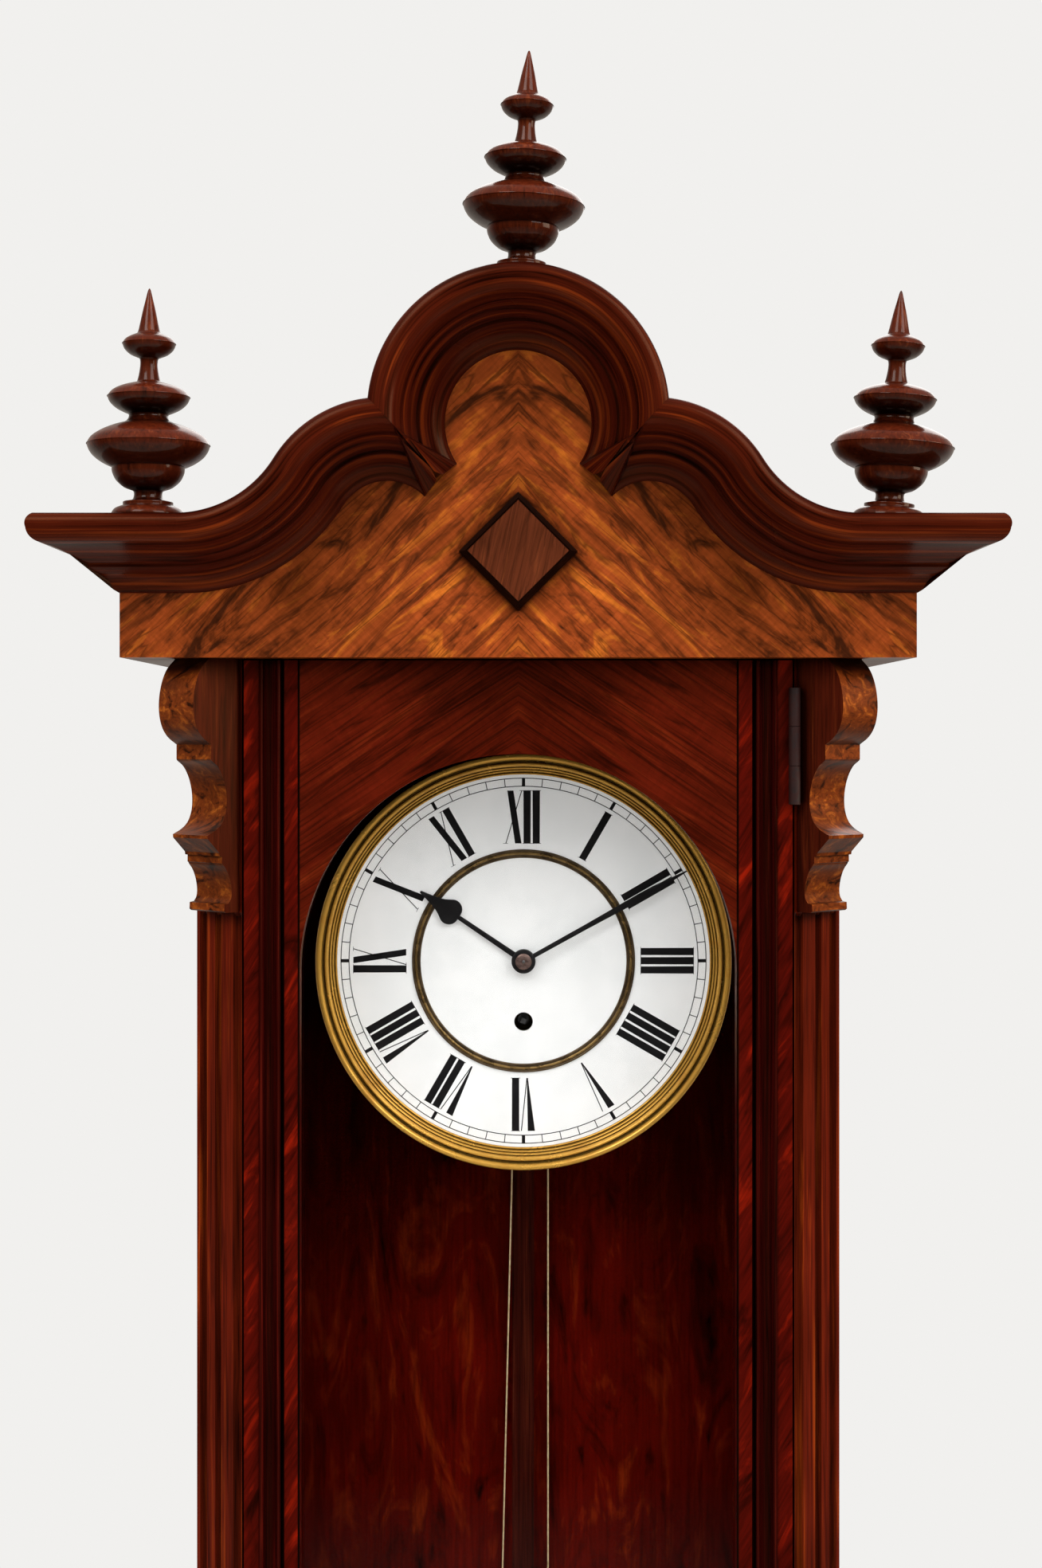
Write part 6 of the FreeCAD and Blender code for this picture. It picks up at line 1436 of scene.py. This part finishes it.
def cord_tube(line: np.ndarray, radius: float, pitch: float, around: int = 10
              ) -> tuple[np.ndarray, np.ndarray]:
    """A twisted cord along a line in the XZ plane.

    The section at length s is a circle of radius r (1 + 0.1 cos 3(a - 2 pi s / pitch)), so that three strands
    wind round the line.

    Args:
        line: Points (x, y, z) along the cord, y constant.
        radius: Mean radius r.
        pitch: Length of one full turn of the strands.
        around: Points round the section.

    Returns:
        Points and faces, the ends closed.
    """
    step = np.gradient(line, axis=0)
    ahead = step / np.linalg.norm(step, axis=1)[:, None]
    side = np.cross(ahead, [0, 1, 0])
    length = np.concatenate([[0], np.cumsum(np.linalg.norm(np.diff(line, axis=0), axis=1))])
    angle = np.linspace(0, 2 * np.pi, around, endpoint=False)
    swell = radius * (1 + 0.1 * np.cos(3 * (angle[None] - 2 * np.pi * length[:, None] / pitch)))
    ring = (line[:, None] + swell[..., None] * (np.cos(angle)[None, :, None] * side[:, None]
                                                + np.sin(angle)[None, :, None] * np.array([0, 1, 0])))
    rings = np.concatenate([np.repeat(line[:1, None], around, 1), ring,
                            np.repeat(line[-1:, None], around, 1)])
    return rings.reshape(-1, 3), grid_faces(len(rings), around, True)


@dataclass
class Drive:
    """Winding drum with its grooves, the gut line, the pulley and the brass weight."""

    axis_x: float = 2.3
    drum_z: float = -136.0
    line_depth: float = 70.0
    line_radius: float = 0.35
    line_lay: float = 2.4
    knot: float = 1.9
    fall_points: int = 900
    arc_points: int = 120
    drum_radius: float = 11.0
    drum_front: float = 78.6
    drum_back: float = 62.6
    groove_pitch: float = 0.97
    groove_depth: float = 0.22
    flange: float = 13.5
    flange_width: float = 1.2
    flange_edge: float = 0.3
    square: float = 2.7
    square_turn: float = 65.0
    wrap: float = 230.0
    pulley_radius: float = 12.0
    pulley: tuple[float, float] = (1.3, -539.5)
    stud: tuple[float, float] = (-1.7, -161.0)
    travel: float = 290.0
    weight_radius: float = 22.0
    weight_top: float = -571.85
    weight_height: float = 112.0
    eye_z: float = -563.45

    def drum(self) -> None:
        """Turns the drum with one groove for each turn of line, and its steel arbor with the square."""
        low = self.drum_radius - self.line_radius - 0.05
        back, front = self.drum_back, self.drum_front
        wide, thick, edge = self.flange, self.flange_width, self.flange_edge
        turns = np.linspace(back + thick, front - thick, 180)
        phase = 2 * np.pi * (turns - turns[0]) / self.groove_pitch
        wave = low - self.groove_depth * (1 - np.cos(phase)) / 2
        outline = np.vstack([
            [(0, back), (wide - edge, back), (wide, back + edge), (wide, back + thick)],
            np.stack([wave, turns], -1),
            [(wide, front - thick), (wide, front - edge), (wide - edge, front), (0, front)]])
        points, faces = lathe(outline, (self.axis_x, 0, self.drum_z), "Y", 96)
        drum = mesh_piece("drum_grooved", points, faces, "movement_brass", "drum", 35)
        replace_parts(drum, "winding_drum")
        shaft = np.array([(0, 47.5), (1.2, 47.5), (1.2, 62.7), (2.6, 62.7), (2.6, 86.5), (2.3, 87.0),
                          (0, 87.0)])
        points, faces = lathe(shaft, (self.axis_x, 0, self.drum_z), "Y", 48)
        mesh_piece("winding_arbor", points, faces, "steel", "drum", 35)
        half = self.square / math.sqrt(2)
        outline = np.array([(0, 86.0), (half, 86.0), (half, 93.7), (half - 0.4, 94.0), (0, 94.0)])
        points, faces = lathe(outline, (0, 0, 0), "Y", 4)
        points = points @ about_depth(self.square_turn) + [self.axis_x, 0, self.drum_z]
        mesh_piece("winding_square", points, faces, "steel", "drum", 20)

    def line(self) -> None:
        """Lays the gut: round the drum, two falls down to the pulley, and the bight round it."""
        y = -self.line_depth
        pulley = np.array(self.pulley)
        stud = np.array(self.stud)
        gap = np.linalg.norm(stud - pulley)
        lean = math.asin(self.pulley_radius / gap)
        leave = math.atan2(*(stud - pulley)[::-1]) + math.pi / 2 - lean
        left = pulley + self.pulley_radius * np.array([math.cos(leave), math.sin(leave)])
        tie = 1 - self.knot / np.linalg.norm(stud - left)
        top_left = left + (stud - left) * tie
        right_top = np.array([self.axis_x + self.drum_radius, self.drum_z])
        right_low = pulley + [self.pulley_radius, 0]

        def straight(a: np.ndarray, b: np.ndarray) -> np.ndarray:
            """Even points from a to b."""
            share = np.linspace(0, 1, self.fall_points)[:, None]
            flat = a + (b - a) * share
            return np.stack([flat[:, 0], np.full(len(flat), y), flat[:, 1]], -1)

        def arc(centre: np.ndarray, radius: float, start: float, stop: float) -> np.ndarray:
            """Even points on a circle, from one angle to another in radians."""
            turn = np.linspace(start, stop, self.arc_points)
            return np.stack([centre[0] + radius * np.cos(turn), np.full(len(turn), y),
                             centre[1] + radius * np.sin(turn)], -1)

        axis = np.array([self.axis_x, self.drum_z])
        pieces = (
            ("gut_on_drum", arc(axis, self.drum_radius, math.radians(self.wrap), 0), "case"),
            ("gut_fall_right", straight(right_top, right_low), "case"),
            ("gut_on_pulley", arc(pulley, self.pulley_radius, 0, leave - 2 * math.pi), "weight"),
            ("gut_fall_left", straight(left, top_left), "case"),
        )
        falls = {"gut_fall_right": (self.drum_z, right_low[1]), "gut_fall_left": (top_left[1], left[1])}
        for name, route, body in pieces:
            points, faces = cord_tube(route, self.line_radius, self.line_lay)
            piece = mesh_piece(name, points, faces, "gut", body, 60)
            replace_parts(piece, "gut_line")
            if name in falls:
                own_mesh(piece)

    def weight(self) -> None:
        """Turns the pulley and the weight's shell, with its cap, stem and eye."""
        x, z = self.pulley
        rim = rounded(np.array([(12.6, 2.75), (13.6, 3.0), (14.3, 2.85), (14.5, 2.4), (13.6, 1.7),
                                (11.7, 0.75)]), 4)
        floor = rounded(np.array([(11.7, 0.75), (10.9, 0.45), (10.6, 0.0), (10.9, -0.45), (11.7, -0.75)]), 4)
        side = np.array([(1.65, 3.0), (3.6, 3.0), (3.9, 2.7), (4.2, 2.1), (11.4, 2.1), (12.1, 2.4)])
        half = np.vstack([side, rim])
        outline = np.vstack([half, floor[1:-1], half[::-1] * [1, -1], half[:1]])
        points, faces = lathe(outline, (x, -self.line_depth, z), "Y", 96)
        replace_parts(mesh_piece("pulley_turned", points, faces, "weight_brass", "pulley", 40),
                    "weight_pulley")
        r, high = self.weight_radius, self.weight_height
        low_end = [(0, 0), (19.0, 0), (20.6, 0.25), (21.6, 0.9), (r, 2.0), (r, 3.4), (21.55, 3.7),
                   (21.55, 4.2), (r, 4.5)]
        top_end = [(r, high - 4.5), (21.55, high - 4.2), (21.55, high - 3.7), (r, high - 3.4),
                   (r, high - 2.0), (21.6, high - 0.9), (20.6, high - 0.25), (19.0, high), (6.0, high),
                   (5.4, high + 0.5), (3.2, high + 0.9), (1.4, high + 1.4), (1.2, high + 2.2),
                   (1.2, high + 4.2), (0, high + 4.2)]
        points, faces = lathe(np.array(low_end + top_end), (x, -self.line_depth, self.weight_top - high),
                              "Z", 128)
        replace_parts(mesh_piece("weight_turned", points, faces, "weight_brass", "weight", 40),
                    "weight_shell")
        turn = np.linspace(0, 2 * np.pi, 25)
        loop = np.stack([4.6 + 1.2 * np.cos(turn), 1.2 * np.sin(turn)], -1)
        points, faces = lathe(loop, (x, -self.line_depth, self.eye_z), "Y", 64)
        mesh_piece("weight_eye", points, faces, "weight_brass", "weight", 60)

    def build(self) -> None:
        """Makes the whole drive."""
        self.drum()
        self.line()
        self.weight()


@dataclass
class PendulumBob:
    """Brass-faced lens of the pendulum, and the knurled rating nut under it."""

    centre: tuple[float, float, float] = (2.3, -32.0, -611.29)
    radius: float = 70.0
    thickness: float = 25.0
    edge: float = 2.4
    nut_top: float = -681.13
    nut_height: float = 6.0
    knurls: int = 48
    knurl_depth: float = 0.16

    def build(self) -> None:
        """Turns the lens as two caps of a sphere, and the nut with its knurls.

        For a rise h over the edge, the sphere's radius is (R^2 + h^2) / 2h. A knurl bites d (1 + cos n a) / 2
        at an angle a round the nut, and runs out inwards.
        """
        rise = (self.thickness - self.edge) / 2
        ball = (self.radius ** 2 + rise ** 2) / (2 * rise)
        r = np.linspace(0, self.radius - 1.2, 60)
        cap = np.stack([r, self.thickness / 2 - ball + np.sqrt(ball ** 2 - r ** 2)], -1)
        rim = np.array([(self.radius - 0.7, 1.5), (self.radius - 0.15, 1.0), (self.radius, 0.0)])
        half = np.vstack([cap, rim])
        outline = np.vstack([half, half[-2::-1] * [1, -1]])
        points, faces = lathe(outline, self.centre, "Y", 160)
        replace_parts(mesh_piece("bob_turned", points, faces, "bob_brass", "pendulum", 40),
                    "pendulum_bob")
        low = self.nut_top - self.nut_height
        edge = rounded(np.array([(6.6, 0.0), (7.2, 0.35), (7.5, 1.0), (7.5, 3.0), (7.5, 5.0), (7.2, 5.65),
                                 (6.6, 6.0)]), 3)
        outline = np.vstack([[1.7, 0.0], edge, [1.7, 6.0], [1.7, 0.0]])
        points, faces = lathe(outline, (0, 0, 0), "Z", 288)
        angle = np.arctan2(points[:, 1], points[:, 0])
        out = np.hypot(points[:, 0], points[:, 1])
        bite = np.clip((out - 6.8) / 0.7, 0, 1) * self.knurl_depth * (1 + np.cos(self.knurls * angle)) / 2
        points[:, :2] *= (1 - bite / out)[:, None]
        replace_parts(mesh_piece("rating_nut_knurled", points + [self.centre[0], self.centre[1], low], faces,
                               "weight_brass", "pendulum", 30), "rating_nut")


@dataclass
class TailDrop:
    """Turned pendant under the tail block."""

    centre: tuple[float, float, float] = (0.0, -29.12, -865.5)
    radius: float = 21.0
    height: float = 52.0

    def build(self) -> None:
        """Turns the pendant."""
        shares = np.array([
            (0.0, 0.0), (0.16, 0.004), (0.32, 0.04), (0.38, 0.09), (0.33, 0.14), (0.23, 0.18), (0.21, 0.22),
            (0.24, 0.26), (0.46, 0.29), (0.74, 0.34), (0.92, 0.42), (1.0, 0.52), (0.99, 0.60),
            (0.88, 0.68), (0.62, 0.745), (0.45, 0.785), (0.42, 0.82), (0.46, 0.85), (0.70, 0.875),
            (0.85, 0.90), (0.87, 0.95), (0.86, 1.0)])
        curve = rounded(shares * [self.radius, self.height], 4)
        curve[:, 0] = np.maximum(curve[:, 0], 0)
        outline = np.vstack([curve, [0, self.height]])
        points, faces = lathe(outline, self.centre, "Z", 80)
        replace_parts(mesh_piece("tail_drop_turned", points, faces, "turned_wood", "case", 50),
                    "tail_drop")


@dataclass
class Case:
    """Finishes of the carried-over nodes that keep their own shapes."""

    def dress(self) -> None:
        """Gives every node the finish of its slot, with a few of its own."""
        slots = {row["node"]: row["material_slot"] for row in frame["record"]["subparts"]}
        own = {"corner_post_left": "post_wood", "corner_post_right": "post_wood",
               "pendulum_rod": "rod_wood", "hinge_case_leaves": "hinge_bronze",
               "hinge_door_leaves": "hinge_bronze"}
        for name, node in frame["nodes"].items():
            node.data.materials.clear()
            node.data.materials.append(finish(own.get(name, slots[name])))


def main() -> None:
    """Builds the stage and the clock, piece by piece."""
    logging.basicConfig(level=logging.INFO, format="%(message)s")
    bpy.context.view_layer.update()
    Stage().build()
    Case().dress()
    DialMarks().build()
    DialRim().build()
    Hands().build()
    Boss().build()
    DoorMouldings().build()
    RebateShadowLines().build()
    Posts().build()
    Corbels().build()
    Finials().build()
    Cornice().build()
    TailDrop().build()
    Drive().build()
    PendulumBob().build()


if __name__ == "__main__":
    main()
